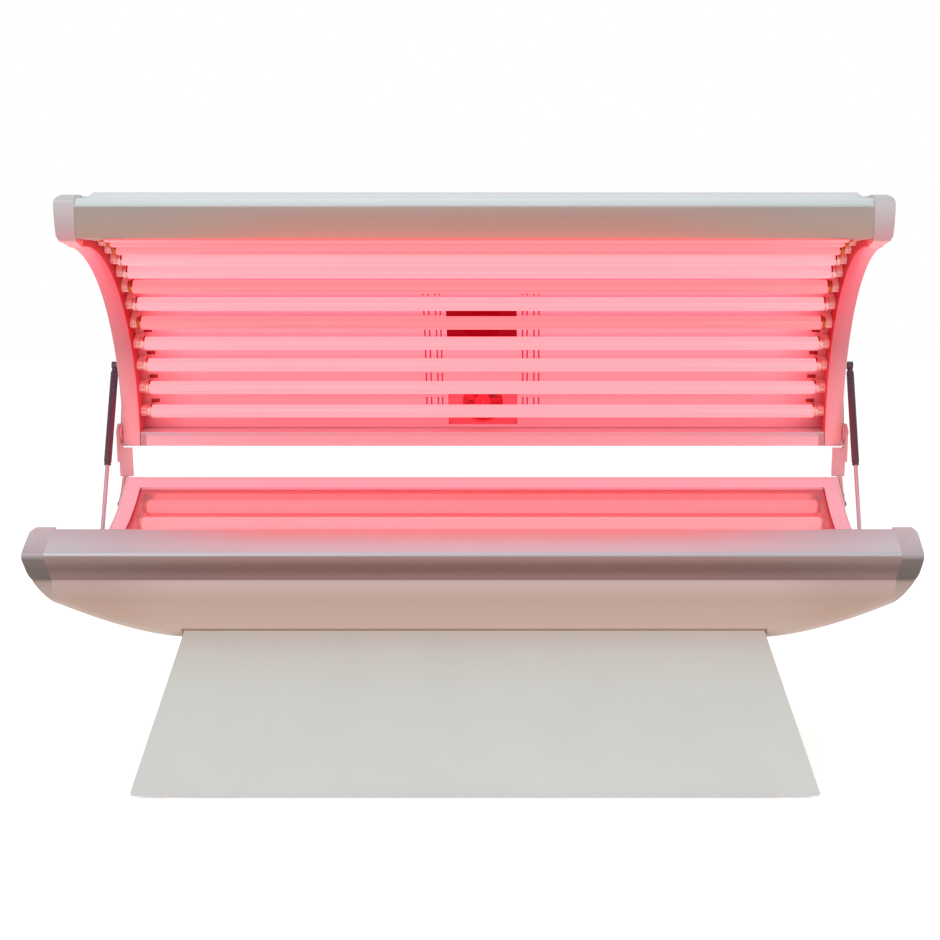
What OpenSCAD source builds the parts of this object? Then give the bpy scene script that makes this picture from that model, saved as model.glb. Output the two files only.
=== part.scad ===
// Lay-down red light therapy bed: a curved bench and a hinged lid, both lined with lamp tubes.
// Millimetres. X runs along the bed, Y from the front rail to the hinge side, Z up from the floor.
// Outlines are drawn as [distance behind the front rail's nose, height], then set back by mid_y.

/* [Bed] */
// Length over the front end caps
bed_l = 2200; // [2100:10:2400]
// Length of bed that each front end cap covers
cap_w = 54; // [50:2:60]
// Height of the front rail's nose above the floor
nose_z = 650; // [620:5:720]
// Radius of the front rail's nose
nose_r = 14; // [8:1:18]
// Depth of the front rail from its nose to its back wall
rail_d = 98; // [94:1:100]
// Rise from the nose to the rail's top edge
rail_rise = 52; // [44:1:54]
// Drop from the nose to the rail's bottom edge
rail_drop = 70; // [60:1:74]
// Wall of the extruded rails
rail_wall = 3; // [2:0.5:4]
// Depth of the bench from front to rear edge
bench_d = 826; // [820:2:832]
// Height of the bench's rear edge above its front edge
bench_lift = 13; // [8:1:16]
// Radius of the bench's hollow
bench_r = 732; // [716:4:748]
// Width of the rim round the acrylic
rim_w = 52; // [44:1:56]
// Thickness of the rim, with its ledge
rim_t = 20; // [18:1:22]
// Depth of the acrylic below the rim's face
acrylic_drop = 8; // [4:1:9]
// Thickness of the acrylic sheet
acrylic_t = 6; // [4:0.5:7]
// Width of the ledge that carries the acrylic
ledge_w = 12; // [8:1:14]
// Thickness of the tub's side sheets
side_t = 3; // [2:0.5:4]
// Drop from the nose to the lowest part of the belly
belly_drop = 238; // [232:1:244]
// Thickness of the belly moulding
belly_t = 4; // [3:0.5:5]

/* [Pedestal] */
// Width of the pedestal at its top
ped_top_w = 1457; // [1430:1:1466]
// Width of the pedestal at its foot
ped_foot_w = 1757; // [1740:1:1790]
// Distance from the rail's nose back to the front panel
ped_y = 110; // [108:1:114]
// Depth of the pedestal over its panels
ped_d = 740; // [730:2:750]
// Thickness of the pedestal's panels
panel_t = 18; // [12:1:20]
// Gap from the floor to the panels
floor_gap = 10; // [6:1:20]
// Side of the square steel tube
tube_s = 40; // [36:1:42]
// Wall of the steel tube
tube_wall = 2; // [1.5:0.5:3]
// Height of the levelling feet under the frame
foot_h = 30; // [26:1:40]
// Diameter of a levelling foot's pad
foot_dia = 40; // [36:1:50]

/* [Lid] */
// Width of each side moulding's front band
flange_w = 52; // [46:1:54]
// Distance that the lid reaches past the bed's rails at each end
lid_reach = 12; // [10:1:14]
// Radius of the side mouldings' front band
lip_r = 590; // [586:1:594]
// Depth of the lid from the front band to the back of the shell
lid_t = 139; // [137:1:142]
// Distance from the nose back to the centre of the lid's curve
lid_cy = 355; // [350:1:360]
// Height of the centre of the lid's curve above the nose
lid_rise = 154; // [150:1:160]
// Thickness of the shell
shell_t = 3; // [2:0.5:4]
// Rise of the shell's crown above the side mouldings
crown_rise = 14; // [10:1:18]
// Rise of the step at each end of the crown
crown_step = 4; // [4:0.5:7]
// Wall of the side mouldings
side_wall = 4; // [3:0.5:5]
// Distance from the nose back to the lid rail's face
lid_face_y = 256; // [252:1:262]
// Depth of the lid's front rail
lid_rail_d = 84; // [80:1:90]
// Height of the lid's front rail
lid_rail_h = 106; // [100:1:110]
// Height of the rear rail along the bottom of the lid
rear_rail_h = 41; // [38:1:52]

/* [Lamps] */
// Number of lamps in the lid
lid_lamp_n = 12; // [10:1:12]
// Number of lamps under the bench
bed_lamp_n = 10; // [8:1:10]
// Diameter of a lamp tube
lamp_dia = 38; // [32:1:38]
// Wall of the glass tube
glass_t = 1; // [0.8:0.2:1.6]
// Length of a lampholder behind the lamp's end
holder_l = 20; // [16:1:24]
// Length of a lamp's metal end cap
lamp_cap_l = 10; // [8:1:12]
// Spacing of the lamps along the lid's curve
lid_pitch = 72.5; // [70:0.5:73]
// Spacing of the lamps along the bench's curve
bed_pitch = 85; // [78:1:86]
// Gap from the glass to the reflector behind it
reflector_gap = 15; // [12:1:18]
// Thickness of the reflector sheet
reflector_t = 2; // [1:0.5:3]

/* [Hinge and struts] */
// Distance from the nose back to the hinge axis
hinge_y = 950; // [946:1:954]
// Height of the hinge axis above the nose
hinge_rise = 191; // [186:1:196]
// Diameter of the hinge pin
pin_dia = 16; // [12:1:18]
// Thickness of each hinge arm
arm_t = 8; // [6:0.5:9]
// Thickness of each hinge plate on the lid
plate_t = 5; // [4:0.5:6]
// Distance from the lid's end out to the strut's axis
strut_out = 23; // [23:0.5:26]
// Diameter of the strut's cylinder
strut_dia = 22; // [20:1:22]
// Diameter of the strut's rod
rod_dia = 12; // [8:1:12]
// Length of the strut's cylinder
cyl_l = 302; // [290:2:306]

/* [Hidden] */
$fn = 96;

eps = 1;
far = 3000;
run_gap = 0.05;       // radial clearance of what turns or slides
fit_gap = 0.3;        // clearance beside a moving face
half_l = bed_l / 2;
rail_half = half_l - cap_w;
lid_half = rail_half + lid_reach;
side_in = lid_half - flange_w;
lid_cz = nose_z + lid_rise;
shell_r = lip_r + lid_t;
mid_y = (lid_cy + shell_r) / 2;

// Front rail and belly
rail_edge_y = 88;
rail_foot_y = 66;
rail_top = nose_z + rail_rise;
rail_foot = nose_z - rail_drop;
rear_y = rail_d + bench_d + 88;
belly_run = 109;
belly_low = nose_z - belly_drop;
belly_end_rise = 86;
belly_flat = ped_top_w / 2 + 7;
belly_power = 1.6;
cap_back_y = 130;

// Bench
bench_y0 = rail_d + 2;
bench_y1 = bench_y0 + bench_d;
bench_tilt = atan(bench_lift / bench_d);
bench_chord = norm([bench_d, bench_lift]);
bench_half_a = asin(bench_chord / 2 / bench_r);
bench_c = [(bench_y0 + bench_y1) / 2, rail_top - 2 + bench_lift / 2]
    + sqrt(pow(bench_r, 2) - pow(bench_chord / 2, 2)) * [-sin(bench_tilt), cos(bench_tilt)];
rim_half = rail_half - side_t - fit_gap;
open_half = rim_half - rim_w;
open_a = bench_half_a - rim_w / bench_r * 180 / PI;
ledge_a = open_a - ledge_w / bench_r * 180 / PI;
acrylic_r = bench_r + acrylic_drop;
rim_back_r = bench_r + rim_t;

// Lamps
lamp_r = lamp_dia / 2;
lamp_half = side_in - holder_l;
glass_half = lamp_half - lamp_cap_l;
lid_lamp_r = lip_r + lamp_r + 16;
lid_refl_r = lid_lamp_r + lamp_r + reflector_gap;
lid_first_a = 9.1;
lid_step_a = lid_pitch / lid_lamp_r * 180 / PI;
bed_lamp_r = rim_back_r + 6 + lamp_r;
bed_refl_r = bed_lamp_r + lamp_r + reflector_gap;
bed_step_a = bed_pitch / bed_lamp_r * 180 / PI;
holder_w = 30;

// Lid
lid_low = nose_z + lid_rise - 2;
lid_back_y = lid_face_y + lid_rail_d;
lid_rail_low = nose_z + 762;
lid_rail_top = lid_rail_low + lid_rail_h;
side_r1 = shell_r - crown_rise;
crown_half = side_in - 30;
crown_slope = 13;
crown_foot = side_in + flange_w / 2;
lid_rib_x = side_in - 506;
rear_rail_y = lid_cy + sqrt(pow(lip_r, 2) - pow(lid_cz - lid_low, 2)) + 2;
rear_rail_top = lid_low + rear_rail_h;
rear_rail_back = lid_cy + side_r1 + crown_step - shell_t - 1;
vent_half = 186;
fan_a = [33.3, 10.4];
fan_half_x = 108;
fan_half_t = 70;
fan_bore_r = 60;
fan_d = 40;
rib_t = 4;

// Plates and frame under the bench
beam_y = bench_y0 + 4;
beam_y1 = bench_y1 - 4;
beam_z = nose_z - 112;
plate_low = beam_z;
foot_y1 = bench_y1 - 70;
rib_low = nose_z - 205;
post_x = ped_top_w / 2 - 128.5;
rib_xs = [-post_x, -post_x / 3, post_x / 3, post_x];
base_half = ped_foot_w / 2 - 78.5;
frame_y0 = ped_y + panel_t;
frame_y1 = ped_y + ped_d - panel_t;
ped_top = belly_low + 31;
ped_back_top = belly_low - fit_gap;
ped_slope = (ped_foot_w - ped_top_w) / 2 / (ped_top - floor_gap);
fan_z = 250;
inlet_x = post_x - 80;
inlet_z = 110;
tray_z = foot_h + tube_s;
tray_half = post_x - 25;
control_w = 310;
ballast_l = (2 * tray_half - control_w - 120) / 2;

// Hinge and struts
hinge_z = nose_z + hinge_rise;
strut_x = lid_half + strut_out;
plate_x1 = lid_half + plate_t;
arm_x0 = plate_x1 + fit_gap;
arm_x1 = arm_x0 + arm_t;
arm_foot_x0 = rail_half + 4;
arm_foot_x1 = arm_foot_x0 + arm_t;
knuckle_low = rail_top - 2 + bench_lift + 1.5;
knuckle_top = lid_low - 3;
strut_top = [978, nose_z + 387];
strut_foot = [742, nose_z - 93];
strut_l = norm(strut_top - strut_foot);
strut_a = atan2(strut_top[1] - strut_foot[1], strut_top[0] - strut_foot[0]);
eye_r = 11;
stud_r = 5;

function arc_pts(c, r, a0, a1, n) = [for (i = [0:n]) let (a = a0 + (a1 - a0) * i / n) c + r * [cos(a), sin(a)]];
function unit(v) = v / norm(v);
// moves each corner of a closed counter-clockwise outline inwards by w
function inset(p, w) = [for (i = [0:len(p) - 1])
    let (a = unit(p[i] - p[(i + len(p) - 1) % len(p)]), b = unit(p[(i + 1) % len(p)] - p[i]),
        m = [-a[1], a[0]], n = [-b[1], b[0]]) p[i] + w * (m + n) / (1 + m * n)];
// height of the belly's lowest line at a distance x along the bed
function belly_z(x) = belly_low + belly_end_rise
    * pow(max(0, abs(x) - belly_flat) / (rail_half - belly_flat), belly_power);
// belly outline at one place along the bed, from the front rail's foot round to the rear rail
function belly_line(z, t, n) = concat(
    [for (i = [0:n]) let (a = 90 * i / n)
        [rail_foot_y + t + (belly_run - t) * (1 - cos(a)), rail_foot - (rail_foot - z - t) * sin(a)]],
    [for (i = [n:-1:0]) let (a = 90 * i / n)
        [rear_y - t - (belly_run - t) * (1 - cos(a)), rail_foot - (rail_foot - z - t) * sin(a)]]);
function rail_line() = concat([[rail_d, rail_foot + 8], [rail_d, rail_top], [rail_edge_y, rail_top]],
    arc_pts([nose_r, nose_z], nose_r, 117, 226, 7), [[rail_foot_y, rail_foot]]);
// end cap seen from the front, inwards from its end and up from the nose
cap_edge = [[-46, -133], [-32, -115], [-17, -90], [-8, -76], [-2, -60], [0, -42]];
cap_corner = 10;
function cap_front_line() = concat([[rail_half, belly_z(rail_half)]],
    [for (p = cap_edge) [half_l + p[0], nose_z + p[1]]],
    arc_pts([half_l - cap_corner, rail_top - cap_corner], cap_corner, 0, 90, 4), [[rail_half, rail_top]]);
function rear_line() = [[bench_y1 + 2, rail_foot], [rear_y, rail_foot], [rear_y, rail_top - 20],
    [rear_y - 16, rail_top - 4], [bench_y1 + 2, rail_top - 4]];
function lid_rail_line() = [[lid_back_y, lid_rail_low], [lid_back_y, lid_rail_top],
    [lid_face_y + 27, lid_rail_top], [lid_face_y + 12, lid_rail_top - 3],
    [lid_face_y + 1, lid_rail_top - 20], [lid_face_y + 6, lid_rail_low + 5]];
function lid_cap_line() = concat([[lid_back_y, lid_rail_low - 21], [lid_back_y, lid_rail_top + 8]],
    arc_pts([lid_face_y + 18, lid_rail_top - 10], 18, 90, 176, 5), [[lid_face_y + 5, lid_rail_low + 3]]);
function rear_rail_line() = [[rear_rail_y, lid_low], [rear_rail_back, lid_low],
    [rear_rail_back, lid_low + 24], [rear_rail_back - 16, rear_rail_top + 5],
    [lid_cy + lid_refl_r - 3, rear_rail_top + 5], [rear_rail_y, rear_rail_top]];
function strut_at(d) = strut_foot + d * [cos(strut_a), sin(strut_a)];

module along_x(x0, x1) {
    translate([x0, -mid_y, 0]) rotate([90, 0, 90]) linear_extrude(x1 - x0) children();
}
module along_y(y0, y1) {
    translate([0, y1 - mid_y, 0]) rotate([90, 0, 0]) linear_extrude(y1 - y0) children();
}
module rod_x(p, r, x0, x1) { along_x(x0, x1) translate(p) circle(r); }
module box(x, y, z) { translate([x[0], y[0] - mid_y, z[0]]) cube([x[1] - x[0], y[1] - y[0], z[1] - z[0]]); }
module both() {
    children();
    mirror([1, 0, 0]) children();
}
module ring(c, r0, r1) {
    translate(c) difference() {
        circle(r1);
        circle(r0);
    }
}
module wedge(a) { polygon([[0, 0], [-far * sin(a), -far * cos(a)], [far * sin(a), -far * cos(a)]]); }
module lid_ring(r0, r1, y0, z0) {
    intersection() {
        ring([lid_cy, lid_cz], r0, r1);
        translate([y0, z0]) square(far);
    }
}
module bench_ring(r0, r1, a) {
    intersection() {
        ring(bench_c, r0, r1);
        translate(bench_c) rotate(bench_tilt) wedge(a);
    }
}
module tube_x(x0, x1, y, z) {
    difference() {
        box([x0, x1], [y, y + tube_s], [z, z + tube_s]);
        box([x0 - eps, x1 + eps], [y + tube_wall, y + tube_s - tube_wall], [z + tube_wall, z + tube_s - tube_wall]);
    }
}
module tube_y(x, y0, y1, z) {
    difference() {
        box([x, x + tube_s], [y0, y1], [z, z + tube_s]);
        box([x + tube_wall, x + tube_s - tube_wall], [y0 - eps, y1 + eps], [z + tube_wall, z + tube_s - tube_wall]);
    }
}
module tube_z(x, y, z0, z1) {
    difference() {
        box([x, x + tube_s], [y, y + tube_s], [z0, z1]);
        box([x + tube_wall, x + tube_s - tube_wall], [y + tube_wall, y + tube_s - tube_wall], [z0 - eps, z1 + eps]);
    }
}

// Pedestal
module base_frame() {
    color("dimgray") {
        for (y = [frame_y0, frame_y1 - tube_s]) {
            tube_x(-base_half, base_half, y, foot_h);
            both() tube_z(post_x - tube_s / 2, y, tray_z, rib_low - rib_t);
        }
        for (x = [-post_x, 0, post_x]) tube_y(x - tube_s / 2, frame_y0 + tube_s, frame_y1 - tube_s, foot_h);
        both() tube_y(post_x - tube_s / 2, frame_y0 + tube_s, frame_y1 - tube_s, rib_low - rib_t - tube_s);
    }
}
module levelling_feet() {
    foot_x = base_half - 30;
    color("#303030") both() for (y = [frame_y0, frame_y1 - tube_s]) translate([foot_x, y + tube_s / 2 - mid_y, 0]) {
        cylinder(h = 6, r = foot_dia / 2);
        translate([0, 0, 6]) cylinder(h = 6, r1 = foot_dia / 2, r2 = 9);
        cylinder(h = foot_h, r = 6);
        translate([0, 0, foot_h - 8]) cylinder(h = 8, r = 10, $fn = 6);
    }
}
module ped_outline(top) {
    foot = ped_foot_w / 2;
    reach = ped_slope * (top - floor_gap);
    polygon([[-foot + 3, floor_gap], [foot - 3, floor_gap], [foot, floor_gap + 8],
        [foot - reach, top], [-foot + reach, top], [-foot, floor_gap + 8]]);
}
module base_front_panel() { color("#d3d3ce") along_y(ped_y, ped_y + panel_t) ped_outline(ped_top); }
module base_rear_panel() {
    color("#d3d3ce") difference() {
        along_y(frame_y1, ped_y + ped_d) ped_outline(ped_back_top);
        for (i = [-5:5]) box([i * 17 - 4, i * 17 + 4], [frame_y1 - eps, ped_y + ped_d + eps],
            [fan_z - 80, fan_z + 80]);
        box([inlet_x - 25, inlet_x + 25], [frame_y1 - eps, ped_y + ped_d + eps], [inlet_z - 16, inlet_z + 16]);
    }
}
module base_end_right() {
    foot = ped_foot_w / 2;
    reach = ped_slope * (ped_back_top - floor_gap);
    color("#d3d3ce") along_y(frame_y0, frame_y1) polygon([[foot - panel_t, floor_gap], [foot, floor_gap],
        [foot - reach, ped_back_top], [foot - reach - panel_t, ped_back_top]]);
}
module base_end_left() { mirror([1, 0, 0]) base_end_right(); }
module electronics_tray() {
    color("silver") difference() {
        box([-tray_half, tray_half], [frame_y0 + 4, frame_y1 - 4], [tray_z, tray_z + 12]);
        box([2 - tray_half, tray_half - 2], [frame_y0 + 6, frame_y1 - 6], [tray_z + 2, tray_z + 13]);
    }
}
module ballasts() {
    color("gainsboro") for (x = [15 - tray_half, 35 - tray_half + ballast_l]) for (i = [0:5]) {
        y = frame_y0 + 60 + i * 88;
        box([x, x + ballast_l], [y, y + 42], [tray_z + 2, tray_z + 34]);
    }
}
module control_box() {
    x = tray_half - 35;
    color("lightgray") box([x - control_w, x], [frame_y0 + 60, frame_y0 + 360], [tray_z + 2, tray_z + 122]);
}
module power_inlet() {
    y = ped_y + ped_d;
    color("#202020") difference() {
        union() {
            box([inlet_x - 32, inlet_x + 32], [y, y + 3], [inlet_z - 23, inlet_z + 23]);
            box([inlet_x - 25, inlet_x + 25], [y - 34, y], [inlet_z - 16, inlet_z + 16]);
        }
        box([inlet_x - 22, inlet_x - 4], [y - 18, y + 4], [inlet_z - 13, inlet_z + 13]);
        box([inlet_x + 3, inlet_x + 23], [y - 18, y + 4], [inlet_z - 14, inlet_z + 14]);
    }
    color("silver") rod_x([y - 6, inlet_z], 1.5, inlet_x + 3, inlet_x + 23);
    color("silver") for (z = [-7, 0, 7]) translate([inlet_x - 13, y - mid_y - 18, inlet_z + z])
        rotate([-90, 0, 0]) cylinder(h = 15, r = 1.6);
}
module mains_rocker() {
    y = ped_y + ped_d;
    color("#802018") translate([inlet_x + 13, y - mid_y - 6, inlet_z]) rotate([9, 0, 0])
        translate([-9, 0, 0]) rotate([90, 0, 90]) linear_extrude(18) difference() {
            polygon([[-8, -4], [4, -11], [8, -11.5], [6, 0], [8, 11.5], [4, 11], [-8, 4]]);
            circle(1.5 + run_gap);
        }
}
module base_fan_housing() {
    color("#303030") difference() {
        box([-100, 100], [frame_y1 - 44, frame_y1], [fan_z - 100, fan_z + 100]);
        translate([0, frame_y1 - 40 - mid_y, fan_z]) rotate([-90, 0, 0]) cylinder(h = 41, r = 92);
        for (a = [45:90:315]) translate([0, frame_y1 - 45 - mid_y, fan_z]) rotate([-90, 0, 0]) rotate([0, 0, a])
            translate([32, -24, 0]) cube([56, 48, 6]);
    }
    color("#303030") translate([0, frame_y1 - 40 - mid_y, fan_z]) rotate([-90, 0, 0]) cylinder(h = 30, r = 4);
}
module rotor(hub_r, tip_r, depth, bore_r, blades) {
    difference() {
        union() {
            cylinder(h = depth, r = hub_r);
            for (i = [0:blades - 1]) rotate([0, 0, 360 / blades * i]) translate([hub_r - 3, 0, depth / 2])
                rotate([35, 0, 0]) translate([0, -depth / 2, -1]) cube([tip_r - hub_r, depth, 2]);
        }
        translate([0, 0, -eps]) cylinder(h = depth + 2 * eps, r = bore_r);
    }
}
module base_fan_rotor() {
    color("#202020") translate([0, frame_y1 - 38 - mid_y, fan_z]) rotate([-90, 0, 0])
        rotor(32, 90, 26, 4 + run_gap, 7);
}

// Tub and bench
module bed_beams() {
    color("dimgray") for (y = [beam_y, beam_y1 - tube_s]) tube_x(-side_in, side_in, y, beam_z);
}
module bed_end_plates() {
    color("dimgray") both() along_x(side_in, side_in + rib_t) difference() {
        polygon([[beam_y, plate_low + 52], [beam_y + 46, plate_low], [beam_y1 - 46, plate_low],
            [beam_y1, plate_low + 52], [beam_y1, rail_top], [beam_y, rail_top]]);
        translate(bench_c) circle(rim_back_r);
    }
}
module bed_ribs() {
    color("dimgray") {
        for (x = rib_xs) along_x(x - rib_t / 2, x + rib_t / 2) difference() {
            polygon([[beam_y + tube_s, beam_z], [frame_y0 + 2, rib_low], [foot_y1, rib_low],
                [beam_y1 - tube_s, beam_z], [beam_y1 - tube_s, beam_z + 3 * tube_s],
                [beam_y + tube_s, beam_z + 3 * tube_s]]);
            translate(bench_c) circle(bed_refl_r + reflector_t);
        }
        both() box([post_x - tube_s / 2, post_x + tube_s / 2], [frame_y0, foot_y1], [rib_low - rib_t, rib_low]);
    }
}
belly_n = 9;
belly_steps = 7;
function belly_section(z) = concat(belly_line(z, 0, belly_n),
    [for (j = [2 * belly_n + 1:-1:0]) belly_line(z, belly_t, belly_n)[j]]);
// one end of the belly, where its lowest line rises: a row of sections joined by triangles
module belly_end() {
    rings = [for (i = [0:belly_steps]) let (x = belly_flat + (rail_half - belly_flat) * i / belly_steps)
        [for (p = belly_section(belly_z(x))) [x, p[0] - mid_y, p[1]]]];
    n = len(rings[0]);
    half = n / 2;
    last = belly_steps * n;
    pts = [for (r = rings) each r];
    sides = [for (i = [0:belly_steps - 1]) for (j = [0:n - 1]) each
        [[i * n + j, (i + 1) * n + (j + 1) % n, i * n + (j + 1) % n],
            [i * n + j, (i + 1) * n + j, (i + 1) * n + (j + 1) % n]]];
    ends = [for (j = [0:half - 2]) each [[j, n - 2 - j, n - 1 - j], [j, j + 1, n - 2 - j],
        [last + j, last + n - 1 - j, last + n - 2 - j], [last + j, last + n - 2 - j, last + j + 1]]];
    polyhedron(pts, concat(sides, ends));
}
module belly_panel() {
    color("#d2b3a8") {
        along_x(-belly_flat, belly_flat) difference() {
            polygon(belly_section(belly_low));
            translate([ped_y - fit_gap, 0]) square([frame_y1 - ped_y + 2 * fit_gap, rail_foot - belly_t]);
        }
        both() belly_end();
    }
}
module hollow_rail(line, wall) {
    difference() {
        polygon(line);
        polygon(inset(line, wall));
    }
}
module bed_front_rail() { color("#a8969a") along_x(-rail_half, rail_half) hollow_rail(rail_line(), rail_wall); }
module bed_rear_rail() {
    color("#cfc3c7") along_x(-rail_half + side_t, rail_half - side_t) hollow_rail(rear_line(), rail_wall);
}
module cap_side(w) {
    low = belly_z(rail_half);
    back_low = rail_foot - (rail_foot - low) * sin(acos(1 - (cap_back_y - rail_foot_y) / belly_run));
    polygon(inset(concat([[cap_back_y, back_low], [cap_back_y, rail_top], [rail_edge_y, rail_top]],
        arc_pts([nose_r, nose_z], nose_r, 117, 226, 7), [for (i = [0:6]) belly_line(low, 0, 9)[i]]), w));
}
module bed_end_cap_right() {
    color("#c9c0c2") difference() {
        intersection() {
            along_x(rail_half, half_l) cap_side(0);
            along_y(0, cap_back_y) polygon(cap_front_line());
        }
        intersection() {
            along_x(rail_half - eps, half_l) cap_side(side_wall);
            along_y(side_wall, cap_back_y - side_wall) translate([-side_wall - eps, 0])
                polygon(inset(cap_front_line(), side_wall));
        }
    }
}
module bed_end_cap_left() { mirror([1, 0, 0]) bed_end_cap_right(); }
module bed_side_right() {
    line = belly_line(belly_z(rail_half), 0, belly_n);
    color("#c9aba8") along_x(rail_half - side_t, rail_half) difference() {
        union() {
            intersection() {
                polygon(inset(concat(line, [[rear_y, far], [rail_foot_y, far]]), belly_t));
                union() {
                    translate([rail_d, 0]) square([bench_y1 + 2 - rail_d, rail_top - 2 + bench_lift]);
                    translate([bench_y1, 0]) square([rear_y - bench_y1, rail_foot]);
                }
            }
            polygon(rear_line());
        }
        translate(bench_c) circle(bench_r);
    }
}
module bed_side_left() { mirror([1, 0, 0]) bed_side_right(); }
module bench_rim() {
    color("#f8a8b2") difference() {
        along_x(-rim_half, rim_half) intersection() {
            ring(bench_c, bench_r, rim_back_r);
            translate([bench_y0, 0]) square([bench_d, bench_c[1]]);
        }
        along_x(-open_half, open_half) bench_ring(bench_r - eps, acrylic_r + acrylic_t, open_a);
        along_x(-open_half + ledge_w, open_half - ledge_w) bench_ring(bench_r - eps, rim_back_r + eps, ledge_a);
    }
}
module bench_acrylic() {
    slip = 0.5;
    color([1, 0.75, 0.75, 0.4]) along_x(-open_half + slip, open_half - slip)
        bench_ring(acrylic_r, acrylic_r + acrylic_t, open_a - 0.04);
}
module bed_reflector() {
    span = asin((bench_d / 2 - 8) / (bed_refl_r + reflector_t));
    color("#ff8090") along_x(-side_in, side_in) bench_ring(bed_refl_r, bed_refl_r + reflector_t, span);
}
function bed_lamp_a(i) = bench_tilt - 90 + (i - (bed_lamp_n - 1) / 2) * bed_step_a;
function lid_lamp_a(i) = lid_first_a + i * lid_step_a;
function bed_spot(i) = bench_c + bed_lamp_r * [cos(bed_lamp_a(i)), sin(bed_lamp_a(i))];
function lid_spot(i) = [lid_cy, lid_cz] + lid_lamp_r * [cos(lid_lamp_a(i)), sin(lid_lamp_a(i))];
module glass(p) {
    along_x(-glass_half, glass_half) ring(p, lamp_r - glass_t, lamp_r);
}
module lamp_cap(p) {
    both() difference() {
        rod_x(p, lamp_r, glass_half, lamp_half);
        rod_x(p, lamp_r - 3, glass_half - eps, lamp_half - 3);
    }
}
// a holder is a round head behind the lamp's end, on a foot that stands on the reflector
module holder(c, a, lamp_at, foot_at) {
    both() along_x(lamp_half, side_in) translate(c) rotate(a) {
        translate([lamp_at, 0]) circle(holder_w / 2);
        translate([lamp_at, -holder_w / 2 + 2]) square([foot_at - lamp_at, holder_w - 4]);
    }
}
module bed_lamps() { color([1, 0.7, 0.72]) for (i = [0:bed_lamp_n - 1]) glass(bed_spot(i)); }
module bed_lamp_caps() { color("silver") for (i = [0:bed_lamp_n - 1]) lamp_cap(bed_spot(i)); }
module bed_lampholders() {
    color("#f6e8e8") for (i = [0:bed_lamp_n - 1])
        holder(bench_c, bed_lamp_a(i), bed_lamp_r, bed_refl_r - fit_gap);
}

// Lid
module lid_frame() {
    color("dimgray") {
        both() for (x = [fan_half_x, lid_rib_x]) along_x(x, x + rib_t)
            lid_ring(lid_refl_r + reflector_t, shell_r - shell_t, lid_back_y + shell_t, rear_rail_top + 5);
        for (a = [21.8, 56]) along_x(-side_in, side_in) translate([lid_cy, lid_cz]) rotate(a)
            translate([lid_refl_r + 14, -12.5]) difference() {
                square(25);
                translate([2, 2]) square(21);
            }
    }
}
// the shell's wall seen along the lid, as [radius, distance along the bed], down to a radius
function crown_line(low) = [[low, crown_foot], [low, -crown_foot], [side_r1 + crown_step, -crown_foot],
    [side_r1 + crown_step, -crown_half - crown_slope], [shell_r, -crown_half], [shell_r, crown_half],
    [side_r1 + crown_step, crown_half + crown_slope], [side_r1 + crown_step, crown_foot]];
// height of a radius of the lid at its front face, less a hair
function front_z(r) = lid_cz + sqrt(pow(r, 2) - pow(lid_cy - lid_back_y, 2)) - 0.2;
module lid_shell() {
    color("#e3e0e8") intersection() {
        translate([0, lid_cy - mid_y, lid_cz]) rotate([90, 0, 90]) rotate([0, 0, -5]) rotate_extrude(angle = 100)
            difference() {
                polygon(crown_line(side_r1));
                polygon(inset(crown_line(side_r1 - shell_t - eps), shell_t));
            }
        box([-far, far], [lid_back_y, far], [lid_low, far]);
    }
    color("#e3e0e8") for (p = [[side_in, side_r1 + crown_step - shell_t], [crown_half - 3, shell_r - shell_t]])
        box([-p[0], p[0]], [lid_back_y, lid_back_y + shell_t], [lid_rail_top - 8, front_z(p[1])]);
}
module lid_front_rail() { color("#a5897c") along_x(-side_in, side_in) hollow_rail(lid_rail_line(), rail_wall); }
module lid_end_cap_right() {
    color("#d0cfcf") difference() {
        intersection() {
            along_x(side_in, lid_half) polygon(lid_cap_line());
            along_y(lid_face_y - 10, lid_back_y) polygon(concat([[side_in, 0], [lid_half, 0]],
                arc_pts([lid_half - 16, lid_rail_top - 8], 16, 0, 90, 6), [[side_in, lid_rail_top + 8]]));
        }
        along_x(side_in - eps, lid_half - side_wall) polygon(inset(lid_cap_line(), side_wall));
    }
}
module lid_end_cap_left() { mirror([1, 0, 0]) lid_end_cap_right(); }
module lid_side_right() {
    color("#ff8f96") difference() {
        along_x(side_in, lid_half) lid_ring(lip_r, side_r1, lid_back_y, lid_low);
        along_x(side_in + side_wall, lid_half - side_wall) lid_ring(lip_r + side_wall, side_r1 - side_wall,
            lid_back_y + side_wall, lid_low + side_wall);
    }
}
module lid_side_left() { mirror([1, 0, 0]) lid_side_right(); }
module lid_rear_rail() { color("#f0a8b0") along_x(-side_in, side_in) hollow_rail(rear_rail_line(), rail_wall - 1); }
module reflector_sheet(x0, x1) {
    along_x(x0, x1) lid_ring(lid_refl_r, lid_refl_r + reflector_t, lid_back_y, rear_rail_top + 6);
}
module lid_reflector_left() { color("#ff8090") reflector_sheet(-side_in, -vent_half); }
module lid_reflector_right() { color("#ff8090") reflector_sheet(vent_half, side_in); }
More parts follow.
